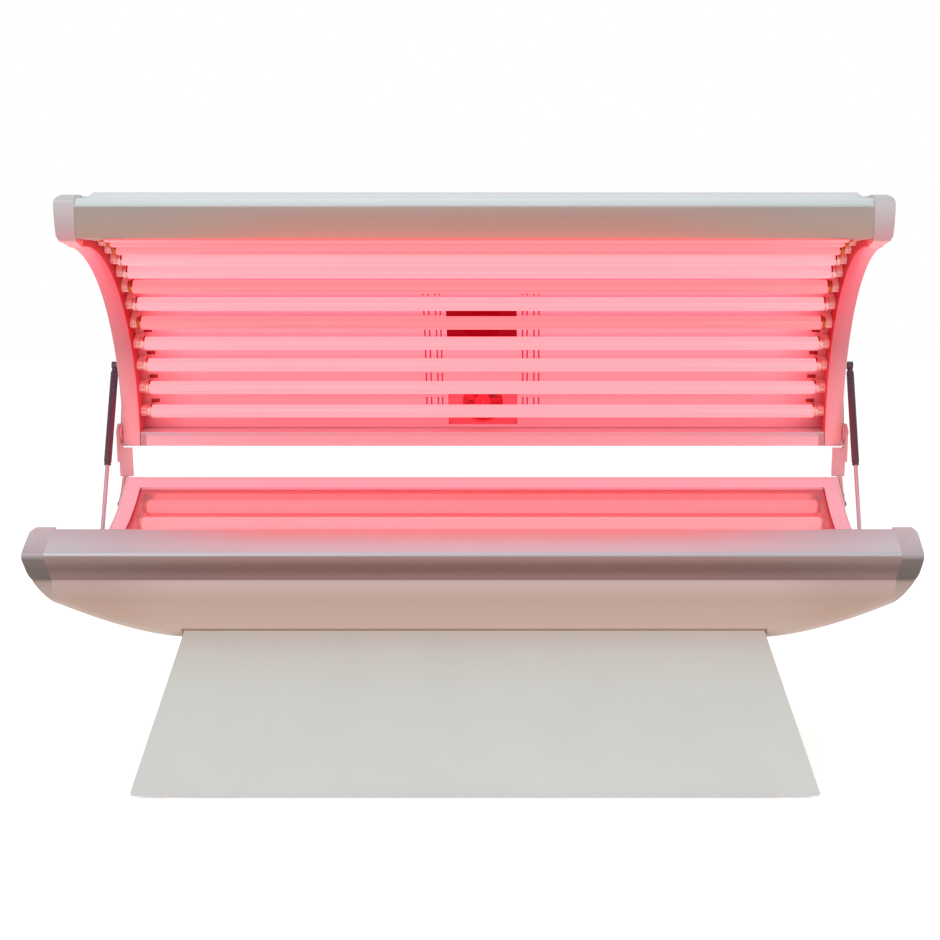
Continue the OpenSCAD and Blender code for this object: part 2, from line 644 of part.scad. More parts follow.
// stands its children at an angle round the lid and a radius, their own z pointing at the lid's centre
module in_lid(a, r) { translate([0, lid_cy - mid_y, lid_cz]) rotate([90 + a, 0, 0]) translate([0, 0, -r]) children(); }
module lid_reflector_centre() {
    gap_n = 6;
    slot_xs = [116, 129, 149, 163];
    slot_w = 5;
    color("#ff7888") difference() {
        reflector_sheet(-vent_half, vent_half);
        for (a = fan_a) in_lid(a, lid_refl_r + 20) translate([-fan_half_x + 6, -fan_half_t + 6, 0])
            cube([2 * fan_half_x - 12, 2 * fan_half_t - 12, 40]);
        for (i = [0:gap_n - 1]) in_lid(lid_lamp_a(i + 0.5) - 1.8, lid_refl_r + 10)
            for (x = slot_xs) both() translate([x, -17, 0]) cube([slot_w, 34, 20]);
    }
}
module lid_lamps() { color([1, 0.7, 0.72]) for (i = [0:lid_lamp_n - 1]) glass(lid_spot(i)); }
module lid_lamp_caps() { color("silver") for (i = [0:lid_lamp_n - 1]) lamp_cap(lid_spot(i)); }
module lid_lampholders() {
    color("#f6e8e8") for (i = [0:lid_lamp_n - 1])
        holder([lid_cy, lid_cz], lid_lamp_a(i), lid_lamp_r, lid_refl_r - fit_gap);
}
fan_r0 = lid_refl_r + reflector_t + 2;
module lid_fan_housings() {
    color("#404040") for (a = fan_a) in_lid(a, fan_r0 + fan_d) {
        difference() {
            translate([-fan_half_x, -fan_half_t, 0]) cube([2 * fan_half_x, 2 * fan_half_t, fan_d]);
            translate([0, 0, 4]) cylinder(h = fan_d, r = fan_bore_r);
            for (b = [45:90:315]) rotate([0, 0, b]) translate([28, -18, -1]) cube([36, 36, 6]);
        }
        cylinder(h = fan_d - 6, r = 3);
    }
}
module lid_rotor(a) {
    color("#602028") in_lid(a, fan_r0 + fan_d - 6) rotor(24, fan_bore_r - 3, 26, 3 + run_gap, 7);
}
module upper_fan_rotor() { lid_rotor(fan_a[0]); }
module lower_fan_rotor() { lid_rotor(fan_a[1]); }

// Hinge and struts
module arm_outline() {
    difference() {
        union() {
            translate([hinge_y, hinge_z]) circle(27);
            polygon([[hinge_y - 27, hinge_z], [hinge_y - 27, hinge_z - 60], [hinge_y - 20, nose_z + 70],
                [hinge_y - 52, nose_z + 24], [hinge_y - 86, nose_z - 2], [hinge_y - 86, nose_z - 22],
                [hinge_y - 60, nose_z - 28], [hinge_y - 12, nose_z - 10], [hinge_y + 24, nose_z + 50],
                [hinge_y + 27, hinge_z]]);
        }
        translate([hinge_y, hinge_z]) circle(pin_dia / 2);
    }
}
arm_feet = [[hinge_y - 70, nose_z - 10], [hinge_y - 36, nose_z + 8]];
// the arm's upper plate stands outside the lid and its lower plate further in; the knuckle joins them
module hinge_arm_right() {
    color("#f5a0ae") {
        along_x(arm_x0, arm_x1) intersection() {
            arm_outline();
            translate([0, (knuckle_low + knuckle_top) / 2]) square(far);
        }
        along_x(arm_foot_x0, arm_foot_x1) intersection() {
            arm_outline();
            square([far, (knuckle_low + knuckle_top) / 2]);
        }
        along_x(lid_half - 30, arm_x0 + 2) polygon([[hinge_y - 20, knuckle_low], [hinge_y - 6, knuckle_low],
            [hinge_y - 14, knuckle_top], [hinge_y - 27, knuckle_top]]);
        for (p = arm_feet) rod_x(p, 11, rail_half, arm_foot_x0);
    }
}
module hinge_arm_left() { mirror([1, 0, 0]) hinge_arm_right(); }
module hinge_pins() {
    c = [hinge_y, hinge_z];
    color("silver") both() {
        rod_x(c, pin_dia / 2 - run_gap, lid_half + fit_gap, arm_x0);
        rod_x(c, pin_dia / 2, arm_x0, arm_x1);
        rod_x(c, pin_dia / 2 + 4, arm_x1, arm_x1 + 4);
    }
}
module hinge_plates() {
    color("#b8a8ac") both() along_x(lid_half, plate_x1) difference() {
        union() {
            translate([hinge_y, hinge_z]) circle(24);
            polygon([[hinge_y - 6, hinge_z + 23], [hinge_y + 24, hinge_z - 4], [hinge_y + 62, hinge_z + 60],
                [hinge_y + 60, hinge_z + 110], [hinge_y + 16, hinge_z + 110]]);
        }
        translate([hinge_y, hinge_z]) circle(pin_dia / 2);
    }
}
module strut_top_bosses() {
    color("silver") both() {
        rod_x(strut_top, 15, lid_half, lid_half + 3);
        rod_x(strut_top, 7, lid_half + 3, strut_x - strut_dia / 2 - 0.5);
    }
}
module strut_anchors() {
    color("silver") both() {
        rod_x(strut_foot, 16, rail_half, rail_half + 4);
        rod_x(strut_foot, stud_r, rail_half + 4, strut_x + eye_r);
        rod_x(strut_foot, 8, strut_x + eye_r - 0.7, strut_x + eye_r + 3);
    }
}
// stands its children on the strut's line at a distance from the lower stud
module on_strut(d) {
    p = strut_at(d);
    translate([strut_x, p[0] - mid_y, p[1]]) rotate([strut_a - 90, 0, 0]) children();
}
gland_l = 12;
module strut_cylinder_right() {
    bore = strut_dia / 2 - 2;
    low = strut_l - 8 - cyl_l;
    color("#301c20") {
        difference() {
            on_strut(low) cylinder(h = cyl_l, r = strut_dia / 2);
            on_strut(low + gland_l) cylinder(h = cyl_l - gland_l - 16, r = bore);
            on_strut(low - eps) cylinder(h = gland_l + 2 * eps, r = rod_dia / 2 + run_gap);
        }
        rod_x(strut_top, eye_r + 2, strut_x - eye_r + 1, strut_x + eye_r - 1);
    }
}
module strut_cylinder_left() { mirror([1, 0, 0]) strut_cylinder_right(); }
module strut_rod_right() {
    bore = strut_dia / 2 - 2;
    low = strut_l - 8 - cyl_l;
    color("#d8a8b0") difference() {
        union() {
            on_strut(eye_r - 2) cylinder(h = low + gland_l + 8 - eye_r + 2, r = rod_dia / 2);
            on_strut(low + gland_l + 8) cylinder(h = 14, r = bore - run_gap);
            rod_x(strut_foot, eye_r, strut_x - eye_r + 1, strut_x + eye_r - 1);
        }
        rod_x(strut_foot, stud_r + run_gap, strut_x - eye_r, strut_x + eye_r);
    }
}
module strut_rod_left() { mirror([1, 0, 0]) strut_rod_right(); }
module arm_bolts() {
    color("#402830") both() for (p = arm_feet) {
        rod_x(p, 7, arm_foot_x1, arm_foot_x1 + 5);
    }
}

base_frame();
levelling_feet();
base_front_panel();
base_rear_panel();
base_end_left();
base_end_right();
electronics_tray();
ballasts();
control_box();
power_inlet();
mains_rocker();
base_fan_housing();
base_fan_rotor();
bed_beams();
bed_end_plates();
bed_ribs();
belly_panel();
bed_front_rail();
bed_rear_rail();
bed_end_cap_left();
bed_end_cap_right();
bed_side_left();
bed_side_right();
bench_rim();
bench_acrylic();
bed_reflector();
bed_lamps();
bed_lamp_caps();
bed_lampholders();
lid_frame();
lid_shell();
lid_front_rail();
lid_end_cap_left();
lid_end_cap_right();
lid_side_left();
lid_side_right();
lid_rear_rail();
lid_reflector_left();
lid_reflector_centre();
lid_reflector_right();
lid_lamps();
lid_lamp_caps();
lid_lampholders();
lid_fan_housings();
upper_fan_rotor();
lower_fan_rotor();
hinge_arm_left();
hinge_arm_right();
hinge_pins();
hinge_plates();
strut_top_bosses();
strut_anchors();
strut_cylinder_left();
strut_cylinder_right();
strut_rod_left();
strut_rod_right();
arm_bolts();
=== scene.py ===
import math
import bmesh
import bpy
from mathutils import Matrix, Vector


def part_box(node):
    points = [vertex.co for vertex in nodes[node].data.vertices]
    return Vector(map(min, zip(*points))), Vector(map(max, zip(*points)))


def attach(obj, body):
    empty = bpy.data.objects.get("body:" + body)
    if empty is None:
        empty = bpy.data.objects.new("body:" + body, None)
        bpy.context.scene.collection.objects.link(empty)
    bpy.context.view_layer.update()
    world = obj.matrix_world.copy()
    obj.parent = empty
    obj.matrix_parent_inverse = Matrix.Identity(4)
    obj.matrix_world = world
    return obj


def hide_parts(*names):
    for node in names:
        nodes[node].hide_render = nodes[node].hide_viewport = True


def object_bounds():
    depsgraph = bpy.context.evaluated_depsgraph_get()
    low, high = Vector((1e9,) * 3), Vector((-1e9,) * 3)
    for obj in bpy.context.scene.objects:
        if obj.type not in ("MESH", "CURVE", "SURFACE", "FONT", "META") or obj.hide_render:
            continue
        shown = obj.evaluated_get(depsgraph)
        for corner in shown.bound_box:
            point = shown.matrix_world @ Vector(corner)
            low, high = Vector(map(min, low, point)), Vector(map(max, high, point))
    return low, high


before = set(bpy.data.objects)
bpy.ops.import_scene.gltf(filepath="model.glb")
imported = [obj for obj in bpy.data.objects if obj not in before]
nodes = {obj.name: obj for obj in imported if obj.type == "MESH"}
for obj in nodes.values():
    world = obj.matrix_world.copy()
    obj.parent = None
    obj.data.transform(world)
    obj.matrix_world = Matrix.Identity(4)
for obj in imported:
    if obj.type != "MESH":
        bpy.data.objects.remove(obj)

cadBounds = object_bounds()
highCorner = cadBounds[1]
print("frame loaded")


# Shared measures, in metres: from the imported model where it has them, else from the fit to the photograph
setBack = highCorner.y  # the bed's front edge is at -setBack, and depths are counted back from it
lidCentre = (0.355 - setBack, 0.804)
lipRadius = 0.590
shellRadius = highCorner.z - lidCentre[1]
lampRadius = 0.019
benchRadius = 0.732
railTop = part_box("bed_front_rail")[1].z
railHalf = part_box("bed_front_rail")[1].x
mouldingInner, lidHalf = (corner.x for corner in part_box("lid_side_right"))
sideNames = {-1: "left", 1: "right"}

# The bench is an arc between the rim's front edge, just under the rail's top, and its higher rear edge
rimLow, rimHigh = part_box("bench_rim")
rimFront = railTop - 0.002
benchDepth, benchLift = rimHigh.y - rimLow.y, rimHigh.z - rimFront
benchTilt = math.atan(benchLift / benchDepth)
chord = math.hypot(benchDepth, benchLift)
sink = math.sqrt(benchRadius ** 2 - (chord / 2) ** 2)
benchCentre = (rimLow.y + benchDepth / 2 - sink * math.sin(benchTilt),
               rimFront + benchLift / 2 + sink * math.cos(benchTilt))
benchTurn = math.degrees(benchTilt) - 90


# An sRGB hex colour as linear values
def linear(code):
    channels = [int(code[place:place + 2], 16) / 255 for place in (1, 3, 5)]
    return [value / 12.92 if value <= 0.04045 else ((value + 0.055) / 1.055) ** 2.4
            for value in channels] + [1.0]


def addNode(tree, kind, settings=None, inputs=None, links=None):
    made = tree.nodes.new(kind)
    for name, value in (settings or {}).items():
        setattr(made, name, value)
    for name, value in (inputs or {}).items():
        made.inputs[name].default_value = value
    for name, source in (links or {}).items():
        tree.links.new(source, made.inputs[name])
    return made


def newMaterial(name, **inputs):
    material = bpy.data.materials.new(name)
    material.use_nodes = True
    tree = material.node_tree
    shader = tree.nodes["Principled BSDF"]
    for socket, value in inputs.items():
        shader.inputs[socket.replace("_", " ")].default_value = value
    place = addNode(tree, "ShaderNodeTexCoord").outputs["Object"]
    return material, tree, shader, place


# A colour that changes with height in steps of (height in metres, colour)
def heightColour(tree, place, stops):
    parts = addNode(tree, "ShaderNodeSeparateXYZ", links={"Vector": place})
    low, high = stops[0][0], stops[-1][0]
    share = addNode(tree, "ShaderNodeMapRange", inputs={"From Min": low, "From Max": high},
                    links={"Value": parts.outputs["Z"]})
    ramp = addNode(tree, "ShaderNodeValToRGB", links={"Fac": share.outputs["Result"]})
    elements = ramp.color_ramp.elements
    elements[0].position, elements[0].color = 0.0, linear(stops[0][1])
    elements[1].position, elements[1].color = 1.0, linear(stops[-1][1])
    for height, colour in stops[1:-1]:
        elements.new((height - low) / (high - low)).color = linear(colour)
    return ramp.outputs["Color"]


# Two height colours of painted light and shade: one for the bed's lit middle, one for its shadier ends, mixed
# from near to far of the centre
def lengthColour(tree, place, middle, ends, near, far):
    parts = addNode(tree, "ShaderNodeSeparateXYZ", links={"Vector": place})
    distance = addNode(tree, "ShaderNodeMath", {"operation": "ABSOLUTE"}, links={0: parts.outputs["X"]})
    share = addNode(tree, "ShaderNodeMapRange", {"interpolation_type": "SMOOTHSTEP"},
                    {"From Min": near, "From Max": far}, {"Value": distance.outputs["Value"]})
    factor, first, second, result = 0, 6, 7, 2  # numbers of the Mix node's colour sockets
    mixed = addNode(tree, "ShaderNodeMix", {"data_type": "RGBA"},
                    links={factor: share.outputs["Result"], first: heightColour(tree, place, middle),
                           second: heightColour(tree, place, ends)})
    return mixed.outputs[result]


# One colour, a colour that changes with height, or one that changes with both height and length
def faceColour(tree, place, stops, ends, reach):
    if ends:
        return lengthColour(tree, place, stops, ends, *reach)
    return linear(stops) if isinstance(stops, str) else heightColour(tree, place, stops)


# Slight uneven tone, so a large plain face isn't one flat colour
def uneven(tree, place, colour, scale, amount):
    cloud = addNode(tree, "ShaderNodeTexNoise", inputs={"Scale": scale, "Detail": 3.0},
                    links={"Vector": place})
    shade = addNode(tree, "ShaderNodeMapRange", inputs={"To Min": 1 - amount, "To Max": 1 + amount},
                    links={"Value": cloud.outputs["Fac"]})
    mixed = addNode(tree, "ShaderNodeVectorMath", {"operation": "SCALE"},
                    links={"Scale": shade.outputs["Result"]})
    if isinstance(colour, bpy.types.NodeSocket):
        tree.links.new(colour, mixed.inputs[0])
    else:
        mixed.inputs[0].default_value = colour[:3]
    return mixed.outputs["Vector"]


# Roughness that varies between two values; its pattern is returned for a bump
def roughen(tree, shader, place, scale, low, high):
    grain = addNode(tree, "ShaderNodeTexNoise", inputs={"Scale": scale, "Detail": 4.0},
                    links={"Vector": place})
    spread = addNode(tree, "ShaderNodeMapRange", inputs={"To Min": low, "To Max": high},
                     links={"Value": grain.outputs["Fac"]})
    tree.links.new(spread.outputs["Result"], shader.inputs["Roughness"])
    return grain.outputs["Fac"]


def bump(tree, shader, height, strength, depth):
    made = addNode(tree, "ShaderNodeBump", inputs={"Strength": strength, "Distance": depth},
                   links={"Height": height})
    tree.links.new(made.outputs["Normal"], shader.inputs["Normal"])


# Injection-moulded or vacuum-formed plastic: a soft, uneven gloss and an orange peel of about 3 mm
def mouldedPlastic(name, stops, rough, ends=None, reach=None):
    material, tree, shader, place = newMaterial(name)
    colour = faceColour(tree, place, stops, ends, reach)
    tree.links.new(uneven(tree, place, colour, scale=2.5, amount=0.015), shader.inputs["Base Color"])
    roughen(tree, shader, place, scale=9.0, low=rough - 0.05, high=rough + 0.06)
    peel = addNode(tree, "ShaderNodeTexNoise", inputs={"Scale": 320.0, "Detail": 2.0},
                   links={"Vector": place})
    bump(tree, shader, peel.outputs["Fac"], strength=0.05, depth=0.0004)
    return material


# Extruded and satin-anodised aluminium: draw lines of about 1 mm along its length, and a soft sheen
def drawnAluminium(name, stops, rough=0.36, metallic=0.85, ends=None, reach=None):
    material, tree, shader, place = newMaterial(name, Metallic=metallic)
    colour = faceColour(tree, place, stops, ends, reach)
    lines = addNode(tree, "ShaderNodeMapping", inputs={"Scale": (0.6, 900.0, 900.0)},
                    links={"Vector": place}).outputs["Vector"]
    tree.links.new(uneven(tree, lines, colour, scale=1.0, amount=0.03), shader.inputs["Base Color"])
    draw = roughen(tree, shader, lines, scale=1.0, low=rough - 0.07, high=rough + 0.08)
    bump(tree, shader, draw, strength=0.08, depth=0.0002)
    return material


# A coat, board, metal or plastic with an even grain, which counts specks to the metre: 500 is one each 2 mm
def plainFinish(name, stops, rough, metallic=0.0, grain=60.0, depth=0.0002, ends=None, reach=None):
    material, tree, shader, place = newMaterial(name, Metallic=metallic)
    colour = faceColour(tree, place, stops, ends, reach)
    tree.links.new(uneven(tree, place, colour, scale=6.0, amount=0.04), shader.inputs["Base Color"])
    height = roughen(tree, shader, place, scale=grain, low=rough - 0.06, high=rough + 0.06)
    bump(tree, shader, height, strength=0.1, depth=depth)
    return material


# Glass tube with a red phosphor coating, lit: it looks overexposed and pale, and lights the rest deep red
def litTube(name, colour, strength=2.3):
    material, tree, shader, place = newMaterial(name, Roughness=0.22, Emission_Strength=strength)
    shader.inputs["Base Color"].default_value = linear("#602028")
    tree.links.new(uneven(tree, place, linear(colour), scale=1.2, amount=0.04),
                   shader.inputs["Emission Color"])
    return material


# Clear cast acrylic: the lamps show through it, with a faint painted pink of the lamps' light and slightly
# smeared reflections
def clearAcrylic(name):
    material, tree, shader, place = newMaterial(name, Alpha=0.22, Roughness=0.04, IOR=1.49,
                                                Specular_IOR_Level=0.3)
    tree.links.new(uneven(tree, place, linear("#F4B4B8"), scale=3.0, amount=0.02),
                   shader.inputs["Base Color"])
    smear = roughen(tree, shader, place, scale=5.0, low=0.03, high=0.08)
    bump(tree, shader, smear, strength=0.02, depth=0.0002)
    return material


# Matt plastic behind the air slots: its red colour and its glow are painted stray red lamp light
def ventPlastic(name, stops, glow):
    material, tree, shader, place = newMaterial(name, Roughness=0.6, Emission_Strength=1.0,
                                                Specular_IOR_Level=0.1)
    tree.links.new(uneven(tree, place, heightColour(tree, place, stops), scale=3.0, amount=0.03),
                   shader.inputs["Base Color"])
    tree.links.new(heightColour(tree, place, glow), shader.inputs["Emission Color"])
    return material


# Colours by height, with painted light: the real parts are white or plain aluminium; the red cast from the
# lamps, shade and highlights are painted into these colours
# Front rail: painted shade on the lower face that turns down, a painted pale highlight above the nose, and
# painted red lamp glow along the top, less of it towards the ends
railPaintedShade = [(0.576, "#8E6E6E"), (0.592, "#8A6864"), (0.606, "#7A5853"), (0.6165, "#73514B"),
            (0.628, "#7C5A55"), (0.638, "#8A6762"), (0.650, "#90706C")]
railStops = [*railPaintedShade, (0.656, "#C2BCC3"), (0.674, "#C8BAC1"), (0.686, "#CCA8AE"), (0.702, "#DA989C")]
railEnds = [(0.576, "#866C69"), (0.592, "#826762"), (0.606, "#745854"), (0.6165, "#6E544D"),
            (0.628, "#765C56"), (0.638, "#826862"), (0.650, "#8A7671"), (0.656, "#C2BCC3"),
            (0.670, "#C7C1C8"), (0.702, "#C4B6BD")]
# End caps: the same painted shade on the face below the nose, with a lighter painted top
capStops = [(0.50, "#A58F85"), (0.574, "#97837A"), (0.584, "#4A3D36"), (0.61, "#483A34"),
            (0.642, "#5A4A44"), (0.650, "#8A8080"), (0.657, "#ACA0A4"), (0.702, "#C4BABF")]
# Lid rail: a painted highlight on its top strip, painted shade on its face, and painted red lamp glow at its
# foot, less of it towards the ends
lidRailPaintedHighlight = [(1.5005, "#DDE6E6"), (1.518, "#ECF4F4")]
lidRailStops = [(1.410, "#DC8A80"), (1.427, "#CF897D"), (1.440, "#C08A80"), (1.470, "#B48C82"),
                (1.4945, "#B09690"), *lidRailPaintedHighlight]
lidRailEnds = [(1.410, "#B88C82"), (1.440, "#AC9287"), (1.470, "#A8958C"), (1.4945, "#A0958F"),
               *lidRailPaintedHighlight]
# Lid caps: painted red lamp glow at the foot, greyer painted shade above it
lidCapStops = [(1.391, "#E87882"), (1.404, "#DC8088"), (1.415, "#B88488"), (1.45, "#B0979A"),
               (1.52, "#BDB9BB")]
# Belly: painted shade, darkest halfway down and towards the ends, with a painted warm cast from the lamps
bellyStops = [(0.41, "#BEA69B"), (0.47, "#B1958A"), (0.53, "#AB9084"), (0.572, "#B9A09C"), (0.582, "#AC9090")]
bellyEnds = [(0.41, "#B6A090"), (0.47, "#A98C7C"), (0.53, "#A3877A"), (0.572, "#AC928E"), (0.582, "#A68A88")]
# Linings: painted red lamp light, pink low down and deep red at the top of the lid
liningStops = [(0.72, "#EAC6D2"), (0.85, "#EFA6AC"), (1.1, "#C2747C"), (1.38, "#E85C70")]
# Inner walls: painted shade, deep red from the lamps
innerStops = [(0.85, "#C8505E"), (1.0, "#C24A5A"), (1.12, "#B21420"), (1.3, "#A20D16")]
# Reflectors: painted red lamp light, paler higher up, darker and redder towards the lamps' ends
reflectorStops = [(0.85, "#E898A8"), (0.875, "#E8B0BE"), (1.0, "#E8B8C2"), (1.2, "#E8CBDC")]
reflectorEnds = [(0.77, "#E898A8"), (0.82, "#D0505C"), (0.875, "#D86C76"), (1.0, "#DC7880"), (1.2, "#DE8A98")]
# Lid rear rail: painted pink lamp light, paler at the top
rearRailStops = [(0.80, "#F0BDC9"), (0.828, "#EEB4BE"), (0.8325, "#CAAEB8")]
# Pedestal board: painted shade, darker and warmer near the top under the belly
boardStops = [(0.05, "#C6C6C4"), (0.30, "#BDBDB8"), (0.38, "#B9B4AE"), (0.44, "#AFA19A")]
# Vents: a painted red glow from the lamps, though the vents have no lamp of their own
ventPaintedGlow = [(1.02, "#000000"), (1.06, "#A60010")]  # the upper vent looks like a plain deep red slot
# Baffles: dark red with a painted red glow
baffleStops, bafflePaintedGlow = ([(0.80, code), (1.3, code)] for code in ("#602830", "#B83A50"))

looks = {
    # Formed and moulded white ABS: soft gloss, faint orange peel; painted shade and a painted red cast from
    # the lamps are in their colours
    "belly": mouldedPlastic("vacuum_formed_abs_belly", bellyStops, 0.34, bellyEnds, (0.72, 0.95)),
    "cap": mouldedPlastic("moulded_abs_cap", capStops, 0.3),
    "lidCap": mouldedPlastic("moulded_abs_lid_cap", lidCapStops, 0.3),
    # Anodised extrusions, with painted light: a pale highlight above the nose and on the lid rail's top,
    # shade on the faces below, and red glow where the lamps reach
    "rail": drawnAluminium("anodised_front_rail", railStops, 0.48, 0.5, railEnds, (0.45, 0.90)),
    "lidRail": drawnAluminium("anodised_lid_rail", lidRailStops, ends=lidRailEnds, reach=(0.35, 0.95)),
    "plainRail": drawnAluminium("anodised_plain_rail", "#D0C4C6"),
    "rearRail": drawnAluminium("anodised_rear_rail", rearRailStops, 0.5, metallic=0.2),
    # Moulded white linings, with painted lamp light: painted pink where they see the lamps, painted deep red
    # shade on the inner walls, ledge and rim wall, plain white outside
    "lining": mouldedPlastic("moulded_abs_lining", liningStops, 0.36),
    "liningInside": mouldedPlastic("moulded_abs_inner_wall_painted_shade", innerStops, 0.42),
    "liningOutside": mouldedPlastic("moulded_abs_outer_wall", "#E6E0E2", 0.36),
    # Ledge and the rim's side walls: painted deep red shade
    "ledge": mouldedPlastic("moulded_abs_ledge_painted_shade", "#C03444", 0.4),
    "rimWall": mouldedPlastic("moulded_abs_rim_wall_painted_shade", "#A02C3A", 0.4),
    "shell": mouldedPlastic("polished_abs_shell", "#E4E2E8", 0.22),  # polished: clear highlights
    # Powder-coated steel: a fine, even texture without gloss spots; the arms' pink is painted lamp light
    "sheet": plainFinish("powder_coated_sheet", "#E6DADA", 0.42, grain=500.0, depth=0.0003),
    "arm": plainFinish("powder_coated_arm_painted_pink_light", "#D69FA6", 0.42, grain=500.0, depth=0.0003),
    "frame": plainFinish("dark_powder_coat", "#3C3E42", 0.5, grain=700.0, depth=0.0004),
    # Laminated board: matt, with painted shade, warmer near its top under the bed; and a brown strip painted
    # as the shadow in the gap above it
    "board": plainFinish("laminated_board", boardStops, 0.5, grain=240.0, depth=0.0003),
    # Brown strip: painted shadow of the gap between the pedestal and the belly
    "gapShadow": plainFinish("painted_gap_shadow_strip", "#8A6A5C", 0.5, grain=200.0),
    # Bright rolled sheet: a soft metal sheen; its pink between the lamps and its deeper red towards their
    # ends are painted lamp light and shade
    "reflector": plainFinish("bright_rolled_aluminium", reflectorStops, 0.38, metallic=0.2, grain=20.0,
                             ends=reflectorEnds, reach=(0.84, 1.05)),
    # Small parts: matt black and glossy red plastic, bright or blackened steel, black enamel and chrome with
    # a painted red cast, and a bracket with painted pink lamp light
    "blackPlastic": plainFinish("black_moulded_plastic", "#1A1A1C", 0.45, grain=300.0),
    "redPlastic": plainFinish("red_switch_plastic", "#7C1412", 0.25),
    "steel": plainFinish("turned_steel", "#A8A6A8", 0.3, metallic=1.0, grain=200.0),
    "darkSteel": plainFinish("blackened_steel", "#4A3438", 0.4, metallic=0.8, grain=200.0),
    # The enamel's purple-red and the chrome's pink are a painted red cast from the lamps
    "strut": plainFinish("black_enamel", "#502C3C", 0.28, grain=40.0),
    "strutRod": plainFinish("ground_chrome", "#C49CA8", 0.36, metallic=0.35, grain=500.0),
    # Bracket: its pink is painted lamp light
    "bracket": plainFinish("steel_bracket_painted_pink_light", "#C08C90", 0.4, metallic=0.3, grain=300.0),
    # Lamps: white holders with painted pink lamp light, soft metal caps, amber ones on the deeper lamps, and
    # painted deep red shade on the clips
    "lampholder": plainFinish("lampholder_plastic_painted_pink_light", "#F0B2AE", 0.4, grain=200.0),
    "holder": plainFinish("white_moulded_plastic", "#F6E6E4", 0.4, grain=200.0),
    "lampCap": plainFinish("aluminium_lamp_cap", "#E8B8B0", 0.3, metallic=0.6, grain=300.0),
    "amberCap": plainFinish("amber_lamp_cap", "#B85A18", 0.3, metallic=0.5, grain=300.0),
    # Clips: their dark red is painted shade under the red lamps
    "clip": plainFinish("spring_clip_painted_red_shade", "#8C1420", 0.35, metallic=0.3, grain=200.0),
    "tube": litTube("lit_phosphor_glass", "#FF747A"),
    "deepTube": litTube("lit_deep_phosphor_glass", "#FF5C61"),
    "acrylic": clearAcrylic("clear_bench_acrylic"),
    "vent": ventPlastic("vent_plastic_painted_red_glow", [(0.99, "#F06A78"), (1.06, "#0C0102")], ventPaintedGlow),
    "ventBlade": ventPlastic("fan_blade_plastic_painted_red_glow", [(0.99, "#D03C50"), (1.06, "#0C0102")], ventPaintedGlow),
    "baffle": ventPlastic("baffle_sheet_painted_red_glow", baffleStops, bafflePaintedGlow),
}
print("materials made")


# Doubles closer than "merge" are joined, and a bevel rounds edges that turn by more than "bevelTurn" degrees
edgeValues = {"merge": 0.00001, "bevelTurn": 30, "weightTurn": 28, "seamReach": 0.0004,
              "packedMerge": 0.00002, "packedTurn": 35, "packedSegments": 2}


# Finishes a mesh as a piece: its body, slot and looks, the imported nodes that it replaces, and its rounding
def keepObject(name, mesh, body, look, replaced=(), bevel=0.0, segments=3, angle=40, others=(),
               weighted=False):
    bmesh.ops.remove_doubles(mesh, verts=mesh.verts, dist=edgeValues["merge"])
    bmesh.ops.recalc_face_normals(mesh, faces=mesh.faces)
    data = bpy.data.meshes.new(name)
    mesh.to_mesh(data)
    mesh.free()
    data.shade_smooth()
    data.set_sharp_from_angle(angle=math.radians(angle))
    piece = bpy.data.objects.new(name, data)
    bpy.context.collection.objects.link(piece)
    for used in (look, *others):
        data.materials.append(looks[used])
    if bevel:
        rounding = piece.modifiers.new("rounded edges", "BEVEL")
        rounding.width = bevel
        rounding.segments = segments
        rounding.limit_method = "WEIGHT" if weighted else "ANGLE"
        rounding.angle_limit = math.radians(edgeValues["bevelTurn"])
        rounding.harden_normals = True
    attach(piece, body)
    if replaced:
        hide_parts(*replaced)


def drawLoop(mesh, points):
    return mesh.faces.new([mesh.verts.new(point) for point in points])


# A closed prism: a loop of points carried along a vector
def prism(mesh, points, along):
    grown = bmesh.ops.extrude_face_region(mesh, geom=[drawLoop(mesh, points)], use_keep_orig=True)
    moved = [item for item in grown["geom"] if isinstance(item, bmesh.types.BMVert)]
    bmesh.ops.translate(mesh, verts=moved, vec=along)


# Prism of a (depth, height) outline between two places along X
def prismX(mesh, outline, low, high):
    prism(mesh, [(low, depth, height) for depth, height in outline], (high - low, 0, 0))


def rectangle(firstLow, firstHigh, secondLow, secondHigh):
    return [(firstLow, secondLow), (firstHigh, secondLow), (firstHigh, secondHigh), (firstLow, secondHigh)]


# A closed (radius, along) section swept round a centre in the YZ plane, between two angles in degrees
def sweptArc(mesh, section, centre, start, end, steps):
    face = drawLoop(mesh, [(along, *arcPoint(centre, radius, start)) for radius, along in section])
    bmesh.ops.spin(mesh, geom=[face, *face.edges, *face.verts], cent=(0, *centre), axis=(1, 0, 0),
                   angle=math.radians(end - start), steps=steps, use_duplicate=False)


# A turned part on an axis through a point: its (distance, radius) profile spun a full turn
def turned(mesh, profile, point, axis, steps):
    axis = Vector(axis).normalized()
    side = axis.orthogonal().normalized()
    verts = [mesh.verts.new(Vector(point) + axis * distance + side * radius) for distance, radius in profile]
    edges = [mesh.edges.new(pair) for pair in zip(verts, verts[1:])]
    bmesh.ops.spin(mesh, geom=verts + edges, cent=point, axis=axis, angle=math.tau, steps=steps,
                   use_merge=True)


def arcPoint(centre, radius, degrees):
    turn = math.radians(degrees)
    return (centre[0] + radius * math.cos(turn), centre[1] + radius * math.sin(turn))


def evenSteps(low, high, count):
    return [low + (high - low) * step / count for step in range(count + 1)]


def arcOf(centre, radius, start, end, count):
    return [arcPoint(centre, radius, turn) for turn in evenSteps(start, end, count)]


# The point a distance out from a centre at an angle, and across that line
def acrossPoint(centre, angle, reach, across):
    return arcPoint(arcPoint(centre, reach, angle), across, angle + 90)


